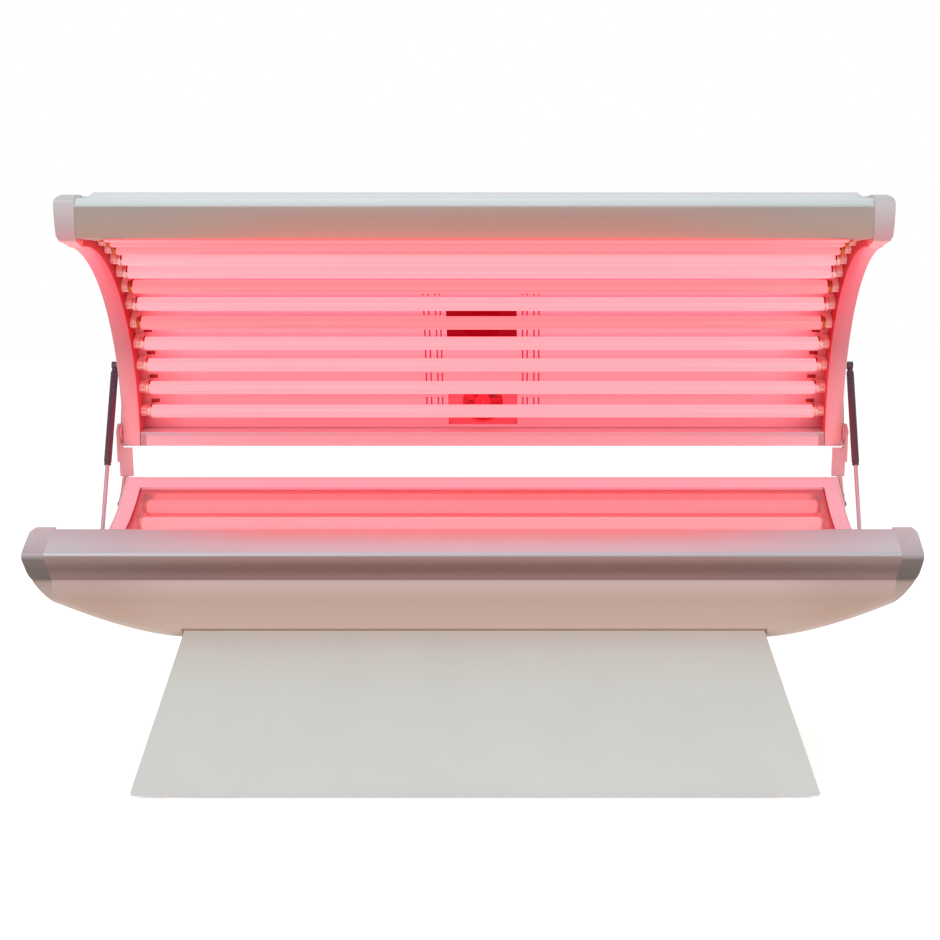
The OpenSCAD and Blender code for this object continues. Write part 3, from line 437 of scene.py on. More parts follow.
def cutAway(mesh, point, outward):
    everything = [*mesh.verts, *mesh.edges, *mesh.faces]
    cut = bmesh.ops.bisect_plane(mesh, geom=everything, plane_co=point, plane_no=outward, clear_outer=True)
    edges = [item for item in cut["geom_cut"] if isinstance(item, bmesh.types.BMEdge)]
    bmesh.ops.holes_fill(mesh, edges=edges)


# Cuts a cap's end to a line of (distance in from that end, height), as it shows from the front
def cutEnd(mesh, side, end, line):
    for (inward, height), (nextInward, nextHeight) in zip(line, line[1:]):
        cutAway(mesh, (side * (end - inward), 0, height),
                (side * (nextHeight - height), 0, nextInward - inward))


# The rounded upper corner of such a line
def roundedTop(corner, top, steps):
    return [(corner - depth, height) for depth, height in arcOf((0.0, top - corner), corner, 0, 90, steps)]


# Edge weights for a bevel that rounds a piece everywhere but at its seam with the piece beside it
def weighEdges(mesh, seamAt, seamShare):
    bmesh.ops.remove_doubles(mesh, verts=mesh.verts, dist=edgeValues["merge"])
    weights = mesh.edges.layers.float.new("bevel_weight_edge")
    for edge in mesh.edges:
        if len(edge.link_faces) == 2 and edge.calc_face_angle() > math.radians(edgeValues["weightTurn"]):
            onSeam = all(abs(abs(vert.co.x) - seamAt) < edgeValues["seamReach"] for vert in edge.verts)
            edge[weights] = seamShare if onSeam else 1.0


# Gives the faces that aren't among the older ones a look of their own
def markNewFaces(mesh, older, index):
    for face in mesh.faces:
        if face not in older:
            face.material_index = index


# Lamps: the curves of a tube's shoulder and of its metal cap are (distance from the glass's end, how far
# under the lamp's radius); "first" and "pitch" place the row on its arc, and deep ones are counted from 0
lampValues = {"glassHalf": 0.976, "shoulder": [(0.0, 0.004), (0.002, 0.0015), (0.006, 0.0)],
              "cap": [(0.0, 0.0045), (0.0, 0.0012), (0.002, 0.0002), (0.009, 0.0002), (0.010, 0.001),
                      (0.010, lampRadius)], "steps": 32, "softEdge": 0.0012}
lidRow = {"radius": 0.625, "pitch": 0.0725, "count": 12, "first": 9.1, "deep": (4, 6, 9, 10, 11)}
bedRow = {"radius": 0.777, "pitch": 0.085, "count": 10, "deep": (9,)}
# A spring clip goes part of the way round the lamp's end, and its tab lies on the reflector beside it
clipValues = {"gap": 0.0003, "outer": 0.0022, "along": (0.972, 0.9765), "turns": (-10, 130), "steps": 16,
              "tabReach": (0.0305, 0.0335), "tabAcross": (0.0185, 0.0285), "tabAlong": (0.957, 0.981),
              "softEdge": 0.0004}
# A holder stands on the reflector behind the lamp's end: a round head on a foot, with four small screws
holderValues = {"headRadius": 0.015, "headSteps": 12, "footReach": 0.0338, "footHalf": 0.013, "gap": 0.0002,
                "screwReach": 0.0132, "screwAcross": (-0.006, 0.006), "screwAlong": (0.006, 0.013),
                "screw": [(0.0, 0.0016), (0.0012, 0.0013), (0.0014, 0.0)], "screwSteps": 10}


def addClip(clips, side, centre, radius, angle):
    start, end = clipValues["turns"]
    low, high = (side * place for place in clipValues["along"])
    section = rectangle(lampRadius + clipValues["gap"], lampRadius + clipValues["outer"], low, high)
    sweptArc(clips, section, arcPoint(centre, radius, angle), angle + start, angle + end,
             clipValues["steps"])
    tab = [acrossPoint(centre, angle, radius + reach, across)
           for reach, across in rectangle(*clipValues["tabReach"], *clipValues["tabAcross"])]
    prismX(clips, tab, *(side * place for place in clipValues["tabAlong"]))


def addHolder(holders, screws, side, centre, radius, angle, start):
    foot, footHalf = radius + holderValues["footReach"], holderValues["footHalf"]
    outline = arcOf((radius, 0.0), holderValues["headRadius"], 90, 270, holderValues["headSteps"])
    outline += [(foot, -footHalf), (foot, footHalf)]
    prismX(holders, [acrossPoint(centre, angle, *point) for point in outline], side * start,
           side * (mouldingInner - holderValues["gap"]))
    inward = (0, *arcPoint((0, 0), -1, angle))
    for across in holderValues["screwAcross"]:
        for along in holderValues["screwAlong"]:
            spot = acrossPoint(centre, angle, radius - holderValues["screwReach"], across)
            turned(screws, holderValues["screw"], (side * (start + along), *spot), inward,
                   holderValues["screwSteps"])


def rackOfLamps(prefix, body, centre, row, angles, clipped):
    glass, caps, holders, screws, clips = (bmesh.new() for piece in range(5))
    half, radius = lampValues["glassHalf"], row["radius"]
    end = half + lampValues["cap"][-1][0]
    for place, angle in enumerate(angles):
        glassBefore, capsBefore = set(glass.faces), set(caps.faces)
        middle = (0, *arcPoint(centre, radius, angle))
        curve = [(inward - half, lampRadius - drop) for inward, drop in lampValues["shoulder"]]
        profile = [*curve, *((-along, reach) for along, reach in reversed(curve))]
        turned(glass, profile, middle, (1, 0, 0), lampValues["steps"])
        for side in (-1, 1):
            rim = [(side * (half + outward), lampRadius - drop) for outward, drop in lampValues["cap"]]
            turned(caps, rim, middle, (1, 0, 0), lampValues["steps"])
            addHolder(holders, screws, side, centre, radius, angle, end)
            if clipped:
                addClip(clips, side, centre, radius, angle)
        deep = int(place in row["deep"])
        markNewFaces(glass, glassBefore, deep)
        markNewFaces(caps, capsBefore, deep)
    keepObject(prefix + "Tubes", glass, body, "tube", [prefix + "_lamps"], angle=60,
               others=["deepTube"])
    keepObject(prefix + "TubeCaps", caps, body, "lampCap", [prefix + "_lamp_caps"],
               others=["amberCap"])
    if clipped:
        keepObject(prefix + "Clips", clips, body, "clip", bevel=clipValues["softEdge"],
                   segments=2)
    keepObject(prefix + "Holders", holders, body, "lampholder", [prefix + "_lampholders"],
               bevel=lampValues["softEdge"])
    keepObject(prefix + "HolderScrews", screws, body, "darkSteel")


lidStep, bedStep = (math.degrees(row["pitch"] / row["radius"]) for row in (lidRow, bedRow))
lidAngles = [lidRow["first"] + lidStep * place for place in range(lidRow["count"])]
bedAngles = [benchTurn + bedStep * (place - (bedRow["count"] - 1) / 2) for place in range(bedRow["count"])]
rackOfLamps("lid", "lid", lidCentre, lidRow, lidAngles, True)
rackOfLamps("bed", "base", benchCentre, bedRow, bedAngles, False)
print("lamps made")


# Belly: one smooth shell that rises towards both ends, open over the pedestal
bellyValues = {"lowest": 0.412, "endRise": 0.086, "flatHalf": 0.735, "power": 1.6, "run": 0.109, "top": 0.580,
               "front": 0.066, "thickness": 0.004, "turnSteps": 18, "middleHalf": 0.7, "middleSteps": 6,
               "endSteps": 16, "slotGap": 0.0005, "frontGap": 0.001, "backGap": 0.0003}
bellyFront = bellyValues["front"] - setBack


# Height of the belly's underside at a place along the bed
def bellyHeight(along):
    share = max(0.0, abs(along) - bellyValues["flatHalf"]) / (railHalf - bellyValues["flatHalf"])
    return bellyValues["lowest"] + bellyValues["endRise"] * share ** bellyValues["power"]


# The belly's front is a quarter of an ellipse: the (depth, height) at a turn of it, and the turn at a depth
def bellyPoint(turn, low):
    run, top = bellyValues["run"], bellyValues["top"]
    return (bellyFront + run * (1 - math.cos(math.radians(turn))),
            top - (top - low) * math.sin(math.radians(turn)))


def bellyTurn(depth):
    return math.degrees(math.acos(1 - (depth - bellyFront) / bellyValues["run"]))


# Its lowest section is carried along the bed, cut into rows, and squeezed upwards where the belly rises
def makeBelly():
    mesh = bmesh.new()
    lowest, top = bellyValues["lowest"], bellyValues["top"]
    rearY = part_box("belly_panel")[1].y
    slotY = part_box("base_front_panel")[0].y - bellyValues["frontGap"]
    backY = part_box("base_rear_panel")[0].y + bellyValues["backGap"]
    turns = sorted([*evenSteps(0, 90, bellyValues["turnSteps"]), bellyTurn(slotY)])
    front = [bellyPoint(turn, lowest) for turn in turns]
    rear = [(rearY + bellyFront - depth, height) for depth, height in reversed(front)]
    verts = [mesh.verts.new((-railHalf, *point)) for point in [*front, (backY, lowest), *rear]]
    edges = [mesh.edges.new(pair) for pair in zip(verts, verts[1:])]
    grown = bmesh.ops.extrude_edge_only(mesh, edges=edges)
    moved = [item for item in grown["geom"] if isinstance(item, bmesh.types.BMVert)]
    bmesh.ops.translate(mesh, verts=moved, vec=(2 * railHalf, 0, 0))
    slotHalf = bellyValues["flatHalf"] + bellyValues["slotGap"]
    reaches = [slotHalf, *evenSteps(0, bellyValues["middleHalf"], bellyValues["middleSteps"]),
               *evenSteps(slotHalf, railHalf, bellyValues["endSteps"])[1:-1]]
    for along in sorted({side * reach for side in (-1, 1) for reach in reaches}):
        bmesh.ops.bisect_plane(mesh, geom=[*mesh.verts, *mesh.edges, *mesh.faces], plane_co=(along, 0, 0),
                               plane_no=(1, 0, 0))
    for vert in mesh.verts:
        squeeze = (top - bellyHeight(vert.co.x)) / (top - lowest)
        vert.co.z = top - (top - vert.co.z) * squeeze
    centres = {face: face.calc_center_median() for face in mesh.faces}
    slot = [face for face, centre in centres.items() if abs(centre.x) < slotHalf and slotY < centre.y < backY]
    bmesh.ops.delete(mesh, geom=slot, context="FACES")
    bmesh.ops.recalc_face_normals(mesh, faces=mesh.faces)
    bmesh.ops.solidify(mesh, geom=mesh.faces[:], thickness=bellyValues["thickness"])
    keepObject("bellyShell", mesh, "base", "belly", ["belly_panel"])


makeBelly()


# Front rail of the bed: an extrusion with a rounded nose. Depths are from the bed's front edge
railValues = {"noseRadius": 0.014, "noseHeight": 0.650, "noseTurns": (117, 226), "noseSteps": 14,
              "back": 0.098, "backLow": 0.588, "topFront": 0.088, "low": 0.580, "softEdge": 0.002,
              "seamShare": 0.1}
noseArc = arcOf((railValues["noseRadius"] - setBack, railValues["noseHeight"]), railValues["noseRadius"],
                *railValues["noseTurns"], railValues["noseSteps"])
topFront = (railValues["topFront"] - setBack, railTop)


def makeFrontRail():
    mesh = bmesh.new()
    back = railValues["back"] - setBack
    outline = [(back, railValues["backLow"]), (back, railTop), topFront, *noseArc,
               (bellyFront, railValues["low"])]
    prismX(mesh, outline, -railHalf, railHalf)
    weighEdges(mesh, railHalf, railValues["seamShare"])
    keepObject("frontRail", mesh, "base", "rail", ["bed_front_rail"],
               bevel=railValues["softEdge"], angle=25, weighted=True)


makeFrontRail()

# An end cap carries the rail's section on to the bed's end; below the rail its end leans in towards the belly
capValues = {"softEdge": 0.004, "seamEdge": 0.0003, "corner": 0.007, "sweep": 0.070, "straightTop": 0.608,
             "lean": 33.0, "foot": 0.06, "steps": 8, "bellySteps": 10}


def makeBedCap(side):
    mesh = bmesh.new()
    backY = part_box("bed_end_cap_right")[1].y
    endLow = bellyHeight(railHalf)
    belly = [bellyPoint(turn, endLow) for turn in evenSteps(0, bellyTurn(backY), capValues["bellySteps"])]
    prismX(mesh, [(backY, railTop), topFront, *noseArc, *belly], side * railHalf, side * highCorner.x)
    sweep, lean, steps = capValues["sweep"], capValues["lean"], capValues["steps"]
    curve = [(sweep - depth, height)
             for depth, height in arcOf((0.0, capValues["straightTop"]), sweep, -lean, 0, steps)]
    inward, height = curve[0]
    foot = (inward + capValues["foot"] * math.sin(math.radians(lean)),
            height - capValues["foot"] * math.cos(math.radians(lean)))
    cutEnd(mesh, side, highCorner.x, [foot, *curve, *roundedTop(capValues["corner"], railTop, steps)])
    weighEdges(mesh, railHalf, capValues["seamEdge"] / capValues["softEdge"])
    keepObject("bedCap_" + sideNames[side], mesh, "base", "cap",
               ["bed_end_cap_" + sideNames[side]], bevel=capValues["softEdge"], segments=5, angle=35,
               weighted=True)


makeBedCap(-1)
makeBedCap(1)
print("tub made")


# Bench: a rim with a ledge, cut from one curved sheet, and the clear sheet that lies in it. Turns in degrees
benchValues = {"rimWidth": 0.044, "drop": 0.008, "acrylic": 0.006, "ledge": 0.009, "ledgeDrop": 0.0142,
               "ledgeThickness": 0.0056, "pastEdge": 1.2, "steps": 40, "softEdge": 0.0016,
               "sheetGap": 0.0008, "sheetTurnGap": 0.06, "sheetSteps": 48}


# A curved sheet with an opening: half lengths and half turns of its edge and of the opening
def curvedFrame(mesh, outerX, innerX, outerTurn, innerTurn, radius, thickness, look):
    older = set(mesh.faces)
    start = arcPoint(benchCentre, radius, benchTurn - outerTurn)
    row = [mesh.verts.new((along, *start)) for along in (-outerX, -innerX, innerX, outerX)]
    row += [mesh.edges.new(pair) for pair in zip(row, row[1:])]
    border = outerTurn - innerTurn
    for turn, steps in ((border, 1), (2 * innerTurn, benchValues["steps"]), (border, 1)):
        spun = bmesh.ops.spin(mesh, geom=row, cent=(0, *benchCentre), axis=(1, 0, 0),
                              angle=math.radians(turn), steps=steps)
        row = spun["geom_last"]
    made, opening = [], []
    for face in mesh.faces:
        centre = face.calc_center_median()
        turn = math.degrees(math.atan2(centre.z - benchCentre[1], centre.y - benchCentre[0])) - benchTurn
        if face not in older:
            (opening if abs(centre.x) < innerX and abs(turn) < innerTurn else made).append(face)
    bmesh.ops.delete(mesh, geom=opening, context="FACES")
    bmesh.ops.recalc_face_normals(mesh, faces=made)
    if made[0].normal.z < 0:
        bmesh.ops.reverse_faces(mesh, faces=made)
    bmesh.ops.solidify(mesh, geom=made, thickness=thickness)
    markNewFaces(mesh, older, look)


def makeBench():
    rimWidth, ledge = benchValues["rimWidth"], benchValues["ledge"]
    halfTurn = math.degrees(math.asin(chord / 2 / benchRadius))
    openTurn = halfTurn - math.degrees(rimWidth / benchRadius)
    ledgeTurn = openTurn - math.degrees(ledge / benchRadius)
    outerTurn = halfTurn + benchValues["pastEdge"]
    openX = rimHigh.x - rimWidth
    top = bmesh.new()
    curvedFrame(top, rimHigh.x, openX, outerTurn, openTurn, benchRadius,
                benchValues["drop"] + benchValues["acrylic"], 0)
    # The ledge takes look 1, painted deep red shade
    curvedFrame(top, rimHigh.x, openX - ledge, outerTurn, ledgeTurn, benchRadius + benchValues["ledgeDrop"],
                benchValues["ledgeThickness"], 1)
    # The rim's side walls take look 2, painted deep red shade
    for face in top.faces:
        if abs(abs(face.calc_center_median().x) - openX) < edgeValues["seamReach"]:
            face.material_index = 2
    cutAway(top, (0, rimLow.y, 0), (0, -1, 0))
    cutAway(top, (0, rimHigh.y, 0), (0, 1, 0))
    keepObject("benchRim", top, "base", "lining", ["bench_rim"], bevel=benchValues["softEdge"],
               angle=25, others=["ledge", "rimWall"])
    sheet = bmesh.new()
    inner = benchRadius + benchValues["drop"]
    half = openX - benchValues["sheetGap"]
    sheetTurn = openTurn - benchValues["sheetTurnGap"]
    sweptArc(sheet, rectangle(inner, inner + benchValues["acrylic"], -half, half), benchCentre,
             benchTurn - sheetTurn, benchTurn + sheetTurn, benchValues["sheetSteps"])
    keepObject("benchAcrylic", sheet, "base", "acrylic", ["bench_acrylic"], angle=25)


makeBench()
print("bench made")


# Lid: side mouldings, front rail with its caps, and the rear rail
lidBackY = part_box("lid_end_cap_right")[1].y
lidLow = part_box("lid_side_right")[0].z
lidRailLow, lidRailTop = (corner.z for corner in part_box("lid_front_rail"))
lidFaceY = 0.256 - setBack
sideOuter = shellRadius - 0.014

# A side moulding tapers in where it meets its cap; its inner walls take a look of painted red shade, its
# outer walls a plain white one
sideValues = {"edge": 0.005, "nick": 0.29, "turns": (-3, 96), "steps": 72, "taperBack": 0.050,
              "taperFace": 0.008, "taperIn": 0.014, "flat": 0.7, "rimReach": 0.002}


def makeLidSide(side):
    mesh = bmesh.new()
    edge = sideValues["edge"]
    nick = edge * sideValues["nick"]
    section = [(lipRadius, mouldingInner + edge), (lipRadius + nick, mouldingInner + nick),
               (lipRadius + edge, mouldingInner), (sideOuter, mouldingInner), (sideOuter, lidHalf),
               (lipRadius + edge, lidHalf), (lipRadius + nick, lidHalf - nick), (lipRadius, lidHalf - edge)]
    sweptArc(mesh, [(radius, side * along) for radius, along in section], lidCentre, *sideValues["turns"],
             sideValues["steps"])
    cutAway(mesh, (0, lidBackY, 0), (0, -1, 0))
    cutAway(mesh, (0, 0, lidLow), (0, 0, -1))
    for vert in mesh.verts:
        near = 1 - (vert.co.y - lidBackY) / sideValues["taperBack"]
        if near > 0 and vert.co.z < lidRailLow and abs(vert.co.x) > lidHalf - sideValues["taperFace"]:
            vert.co.x -= side * sideValues["taperIn"] * near ** 2
    mesh.normal_update()
    # Faces on the inner walls get the painted red shade, outer faces the plain white
    for face in mesh.faces:
        centre = face.calc_center_median()
        flat = abs(face.normal.x) > sideValues["flat"]
        inside = abs(centre.x) < (mouldingInner + lidHalf) / 2
        reach = math.hypot(centre.y - lidCentre[0], centre.z - lidCentre[1])
        if flat and inside:
            face.material_index = 1
        if (flat and not inside) or reach > sideOuter - sideValues["rimReach"]:
            face.material_index = 2
    keepObject("lidSide_" + sideNames[side], mesh, "lid", "lining",
               ["lid_side_" + sideNames[side]], angle=35, others=["liningInside", "liningOutside"])


# Lid cap: "draw" is its lower end as it shows from the front, as (distance in from the lid's end, height);
# "chin" is the foot of its face, as (behind the face, above the rail's lower edge)
lidCapValues = {"softEdge": 0.004, "corner": 0.023, "steps": 8, "rise": 0.008, "skirt": 0.021,
                "faceRadius": 0.022, "faceDrop": 0.014, "faceTurns": (90, 176), "faceSteps": 10,
                "chin": [(0.004, 0.012), (0.010, -0.002)], "seamShare": 0.05,
                "draw": [(0.030, 1.391), (0.018, 1.399), (0.0095, 1.409), (0.0032, 1.423), (0.001, 1.450),
                         (0.0, 1.480)]}


def makeLidCap(side):
    mesh = bmesh.new()
    top = lidRailTop + lidCapValues["rise"]
    faceArc = arcOf((lidFaceY + lidCapValues["faceRadius"], lidRailTop - lidCapValues["faceDrop"]),
                    lidCapValues["faceRadius"], *lidCapValues["faceTurns"], lidCapValues["faceSteps"])
    chin = [(lidFaceY + behind, lidRailLow + above) for behind, above in lidCapValues["chin"]]
    outline = [(lidBackY, lidRailLow - lidCapValues["skirt"]), (lidBackY, top), *faceArc, *chin]
    prismX(mesh, outline, side * mouldingInner, side * lidHalf)
    crown = roundedTop(lidCapValues["corner"], top, lidCapValues["steps"])
    cutEnd(mesh, side, lidHalf, [*lidCapValues["draw"], *crown])
    weighEdges(mesh, mouldingInner, lidCapValues["seamShare"])
    keepObject("lidCap_" + sideNames[side], mesh, "lid", "lidCap",
               ["lid_end_cap_" + sideNames[side]], bevel=lidCapValues["softEdge"], segments=4, angle=35,
               weighted=True)


# Lid rail: "face" runs down its front, as (behind the lid's face, below the rail's top)
lidRailValues = {"gap": 0.0003, "face": [(0.027, 0.0), (0.012, 0.003), (0.001, 0.020)],
                 "foot": (0.006, 0.005), "softEdge": 0.0015, "seamShare": 0.1}


def makeLidRail():
    mesh = bmesh.new()
    footBehind, footAbove = lidRailValues["foot"]
    outline = [(lidBackY, lidRailLow), (lidBackY, lidRailTop),
               *((lidFaceY + behind, lidRailTop - below) for behind, below in lidRailValues["face"]),
               (lidFaceY + footBehind, lidRailLow + footAbove)]
    half = mouldingInner - lidRailValues["gap"]
    prismX(mesh, outline, -half, half)
    weighEdges(mesh, mouldingInner, lidRailValues["seamShare"])
    keepObject("lidFrontRail", mesh, "lid", "lidRail", ["lid_front_rail"],
               bevel=lidRailValues["softEdge"], weighted=True)


# Small brackets that close the rear rail's ends: depths and heights from the rail's lowest corner
bracketValues = {"depths": (-0.002, 0.0005), "heights": (0.0005, 0.036), "length": 0.0162, "gap": 0.0003,
                 "softEdge": 0.0006}


def makeRailBrackets():
    mesh = bmesh.new()
    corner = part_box("lid_rear_rail")[0]
    outline = [(corner.y + depth, corner.z + height)
               for depth, height in rectangle(*bracketValues["depths"], *bracketValues["heights"])]
    outer = mouldingInner - bracketValues["gap"]
    for side in (-1, 1):
        prismX(mesh, outline, side * (outer - bracketValues["length"]), side * outer)
    keepObject("rearRailBrackets", mesh, "lid", "bracket", bevel=bracketValues["softEdge"],
               segments=2)


# Baffles behind the air slots of the reflector, past the first and the seventh lamp: sheets with a painted
# red glow that shows through the slots
baffleValues = {"radii": (0.6645, 0.666), "along": (0.1135, 0.170), "lamps": (0, 6), "past": 2, "steps": 40}


def makeBaffles():
    mesh = bmesh.new()
    first, last = (lidAngles[place] for place in baffleValues["lamps"])
    for side in (-1, 1):
        section = rectangle(*baffleValues["radii"], *(side * along for along in baffleValues["along"]))
        sweptArc(mesh, section, lidCentre, first - baffleValues["past"], last + baffleValues["past"],
                 baffleValues["steps"])
    keepObject("slotBaffles", mesh, "lid", "baffle")


# Closes the lid's crown at the front, where its middle steps down by "drop" towards its ends
crownValues = {"drop": 0.010, "under": 0.0006, "below": 0.010, "inner": 0.968, "topEnd": 0.9755,
               "stepStart": 0.9885, "stepEnd": 1.005, "depths": (0.0004, 0.0028)}


def makeCrownEnds():
    mesh = bmesh.new()
    depth = lidBackY - lidCentre[0]
    step, top = (lidCentre[1] + math.sqrt((shellRadius - drop) ** 2 - depth ** 2) - crownValues["under"]
                 for drop in (crownValues["drop"], 0.0))
    low = lidRailTop - crownValues["below"]
    inner, stepEnd = crownValues["inner"], crownValues["stepEnd"]
    outline = [(inner, low), (stepEnd, low), (stepEnd, step), (crownValues["stepStart"], step),
               (crownValues["topEnd"], top), (inner, top)]
    front, back = (lidBackY + place for place in crownValues["depths"])
    for side in (-1, 1):
        prism(mesh, [(side * along, front, height) for along, height in outline], (0, back - front, 0))
    keepObject("crownEnds", mesh, "lid", "shell")


for side in (-1, 1):
    makeLidSide(side)
    makeLidCap(side)
makeLidRail()
makeRailBrackets()
makeBaffles()
makeCrownEnds()
print("lid made")


# Struts: a tube with a crimped gland and a ball end, and a polished rod with an eye. "gland" is (distance
# from the tube's low end, how far under its radius), "tip" the same from the upper pivot, and the rest
# are (distance, radius)
strutValues = {"radius": 0.011, "rodRadius": 0.006, "along": 1.081, "top": (0.978, 1.037),
               "foot": (0.742, 0.557), "length": 0.302, "headRoom": 0.008, "boreGap": 0.0002,
               "gland": [(0.0, 0.003), (0.002, 0.0008), (0.006, 0.0008), (0.007, 0.002), (0.009, 0.002),
                         (0.0105, 0.0)],
               "tip": [(0.024, 0.0), (0.014, 0.003), (0.011, 0.004)],
               "head": [(-0.009, 0.0), (-0.009, 0.0105), (-0.008, 0.0118), (0.008, 0.0118), (0.009, 0.0105),
                        (0.009, 0.0)],
               "eye": [(-0.0095, 0.0055), (-0.0095, 0.010), (-0.0085, 0.0108), (0.0085, 0.0108),
                       (0.0095, 0.010), (0.0095, 0.0055)],
               "rodStart": (0.009, 0.0055), "rodFull": 0.010, "rodInside": 0.03}


def makeStrut(side):
    name = sideNames[side]
    radius, rodRadius = strutValues["radius"], strutValues["rodRadius"]
    foot, top = (Vector((side * strutValues["along"], depth - setBack, height))
                 for depth, height in (strutValues["foot"], strutValues["top"]))
    axis = (top - foot).normalized()
    reach = (top - foot).length
    low = reach - strutValues["headRoom"] - strutValues["length"]
    tube = bmesh.new()
    profile = [(low, rodRadius + strutValues["boreGap"]),
               *((low + along, radius - under) for along, under in strutValues["gland"]),
               *((reach - along, radius - under) for along, under in strutValues["tip"])]
    turned(tube, profile, foot, axis, steps=40)
    turned(tube, strutValues["head"], top, (1, 0, 0), steps=36)
    keepObject("strutTube_" + name, tube, "cylinder_" + name, "strut",
               ["strut_cylinder_" + name], angle=50)
    rod = bmesh.new()
    turned(rod, [strutValues["rodStart"], (strutValues["rodFull"], rodRadius),
                 (low + strutValues["rodInside"], rodRadius)], foot, axis, steps=28)
    keepObject("strutRod_" + name, rod, "rod_" + name, "strutRod", ["strut_rod_" + name],
               angle=50)
    eye = bmesh.new()
    turned(eye, strutValues["eye"], foot, (1, 0, 0), steps=32)
    keepObject("strutEye_" + name, eye, "rod_" + name, "blackPlastic", angle=50)


makeStrut(-1)
makeStrut(1)
print("struts made")


# A thin brown strip along the joint between the pedestal's front panel and the belly, with a filler at each
# end, stands in for the shadow in that gap
gapShadowValues = {"depths": (-0.0012, 0.0005), "heights": (-0.0035, 0.002), "past": 0.006, "fillerFront": 0.0002,
              "fillerBack": 0.018, "fillerLap": 0.001, "fillerTop": 0.008, "fillerPast": 0.0062,
              "topReach": 0.001}


def makeGapShadow():
    mesh = bmesh.new()
    panelLow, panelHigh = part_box("base_front_panel")
    face = panelLow.y
    joint = bellyPoint(bellyTurn(face), bellyValues["lowest"])[1]
    topHalf = max(abs(vert.co.x) for vert in nodes["base_front_panel"].data.vertices
                  if vert.co.z > panelHigh.z - gapShadowValues["topReach"])
    half = topHalf + (panelHigh.x - topHalf) * (panelHigh.z - joint) / (panelHigh.z - panelLow.z)
    outline = [(face + depth, joint + height)
               for depth, height in rectangle(*gapShadowValues["depths"], *gapShadowValues["heights"])]
    prismX(mesh, outline, -half - gapShadowValues["past"], half + gapShadowValues["past"])
    front, back = face + gapShadowValues["fillerFront"], face + gapShadowValues["fillerBack"]
    lap, top = gapShadowValues["fillerLap"], joint + gapShadowValues["fillerTop"]
    for side in (-1, 1):
        prismX(mesh, [(front, joint - lap), (back, bellyValues["lowest"] + lap), (back, top), (front, top)],
               side * (half - lap), side * (half + gapShadowValues["fillerPast"]))
    keepObject("pedestalGapShadow", mesh, "base", "gapShadow")


makeGapShadow()


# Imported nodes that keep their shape, by finish, and the width to which the edges of some are rounded
nodeLooks = {
    "frame": ["base_frame", "bed_beams", "bed_end_plates", "bed_ribs", "lid_frame"],
    "board": ["base_front_panel", "base_rear_panel", "base_end_left", "base_end_right"],
    "sheet": ["bed_side_left", "bed_side_right"],
    "reflector": ["bed_reflector", "lid_reflector_left", "lid_reflector_centre", "lid_reflector_right"],
    "shell": ["lid_shell"], "plainRail": ["bed_rear_rail"], "rearRail": ["lid_rear_rail"],
    "arm": ["hinge_arm_left", "hinge_arm_right", "hinge_plates"],
    "steel": ["electronics_tray", "hinge_pins", "strut_top_bosses", "strut_anchors"],
    "darkSteel": ["arm_bolts"], "holder": ["levelling_feet", "ballasts", "control_box"],
    "blackPlastic": ["power_inlet", "base_fan_housing", "base_fan_rotor"], "redPlastic": ["mains_rocker"],
    "vent": ["lid_fan_housings"], "ventBlade": ["upper_fan_rotor", "lower_fan_rotor"]}
roundings = {"base_front_panel": 0.0015, "base_rear_panel": 0.0015, "base_end_left": 0.0015,
             "base_end_right": 0.0015, "hinge_arm_left": 0.0012, "hinge_arm_right": 0.0012,
             "hinge_plates": 0.0008, "control_box": 0.002, "lid_rear_rail": 0.0012,
             "bed_rear_rail": 0.0015, "ballasts": 0.001}
for look, names in nodeLooks.items():
    for name in names:
        nodes[name].data.materials.clear()
        nodes[name].data.materials.append(looks[look])
for name, width in roundings.items():
    joined = nodes[name].modifiers.new("joined corners", "WELD")
    joined.merge_threshold = edgeValues["packedMerge"]
    rounding = nodes[name].modifiers.new("rounded edges", "BEVEL")
    rounding.width = width
    rounding.segments = edgeValues["packedSegments"]
    rounding.limit_method = "ANGLE"
    rounding.angle_limit = math.radians(edgeValues["packedTurn"])
print("packed nodes finished")


# Studio: a pale floor, three soft lights as (place, aim, size, power), and a world that is white to the
# camera and a softer grey to everything that it lights
studioValues = {"floorSize": 14, "floorGlow": 0.45, "worldSeen": 1.0, "worldLight": 0.62}
lightValues = {"keyLight": ((-2.2, -4.2, 3.6), (0, 0, 0.7), (3.0, 2.4), 60),
               "fillLight": ((3.4, -3.6, 2.2), (0, 0, 0.6), (2.6, 2.0), 30),
               "topLight": ((0, 0.6, 4.2), (0, 0.1, 1.0), (3.4, 2.4), 40)}


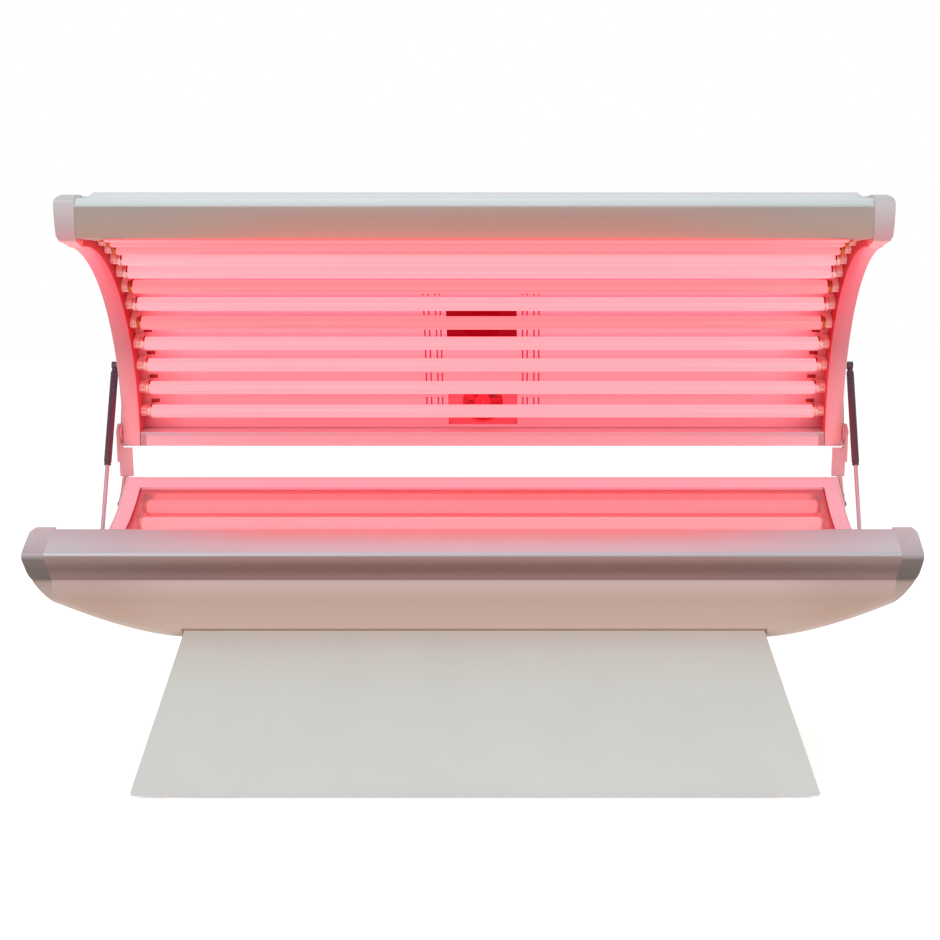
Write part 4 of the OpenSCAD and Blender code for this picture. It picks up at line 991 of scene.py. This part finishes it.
def makeFloor():
    mesh = bmesh.new()
    bmesh.ops.create_grid(mesh, x_segments=1, y_segments=1, size=studioValues["floorSize"])
    data = bpy.data.meshes.new("studioFloor")
    mesh.to_mesh(data)
    mesh.free()
    floor = bpy.data.objects.new("studioFloor", data)
    bpy.context.collection.objects.link(floor)
    material, tree, shader, place = newMaterial("pale_studio_floor", Roughness=0.9,
                                                Emission_Color=(1, 1, 1, 1),
                                                Emission_Strength=studioValues["floorGlow"])
    tree.links.new(uneven(tree, place, linear("#FFFFFF"), scale=0.6, amount=0.004),
                   shader.inputs["Base Color"])
    data.materials.append(material)


def makeLight(name, place, aim, size, power):
    light = bpy.data.lights.new(name, "AREA")
    light.shape = "RECTANGLE"
    light.size, light.size_y = size
    light.energy = power
    holder = bpy.data.objects.new(name, light)
    holder.location = place
    holder.rotation_euler = (Vector(aim) - Vector(place)).to_track_quat("-Z", "Y").to_euler()
    bpy.context.collection.objects.link(holder)


def makeWorld(seen, lighting):
    world = bpy.data.worlds.new("studioWorld")
    world.use_nodes = True
    tree = world.node_tree
    background = tree.nodes["Background"]
    path = addNode(tree, "ShaderNodeLightPath")
    level = addNode(tree, "ShaderNodeMapRange", inputs={"To Min": lighting, "To Max": seen},
                    links={"Value": path.outputs["Is Camera Ray"]})
    tree.links.new(level.outputs["Result"], background.inputs["Strength"])
    background.inputs["Color"].default_value = (1, 1, 1, 1)
    bpy.context.scene.world = world


# The photograph's own viewpoint: 4.3 m in front, 1.475 m up, looking 8 degrees down
cameraValues = {"place": (0.138, -4.311 - setBack, 1.475), "down": 8.06, "focal": 68.94, "shift": -0.0631,
                "sensor": 36}


def makeCamera():
    data = bpy.data.cameras.new("photoCamera")
    data.sensor_width = cameraValues["sensor"]
    data.lens = cameraValues["focal"]
    data.shift_x = cameraValues["shift"]
    camera = bpy.data.objects.new("photoCamera", data)
    camera.location = cameraValues["place"]
    camera.rotation_euler = (math.radians(90 - cameraValues["down"]), 0, 0)
    bpy.context.collection.objects.link(camera)
    bpy.context.scene.camera = camera


makeFloor()
makeWorld(studioValues["worldSeen"], studioValues["worldLight"])
for name, values in lightValues.items():
    makeLight(name, *values)
makeCamera()
bpy.context.scene.view_settings.view_transform = "Standard"
print("studio made")
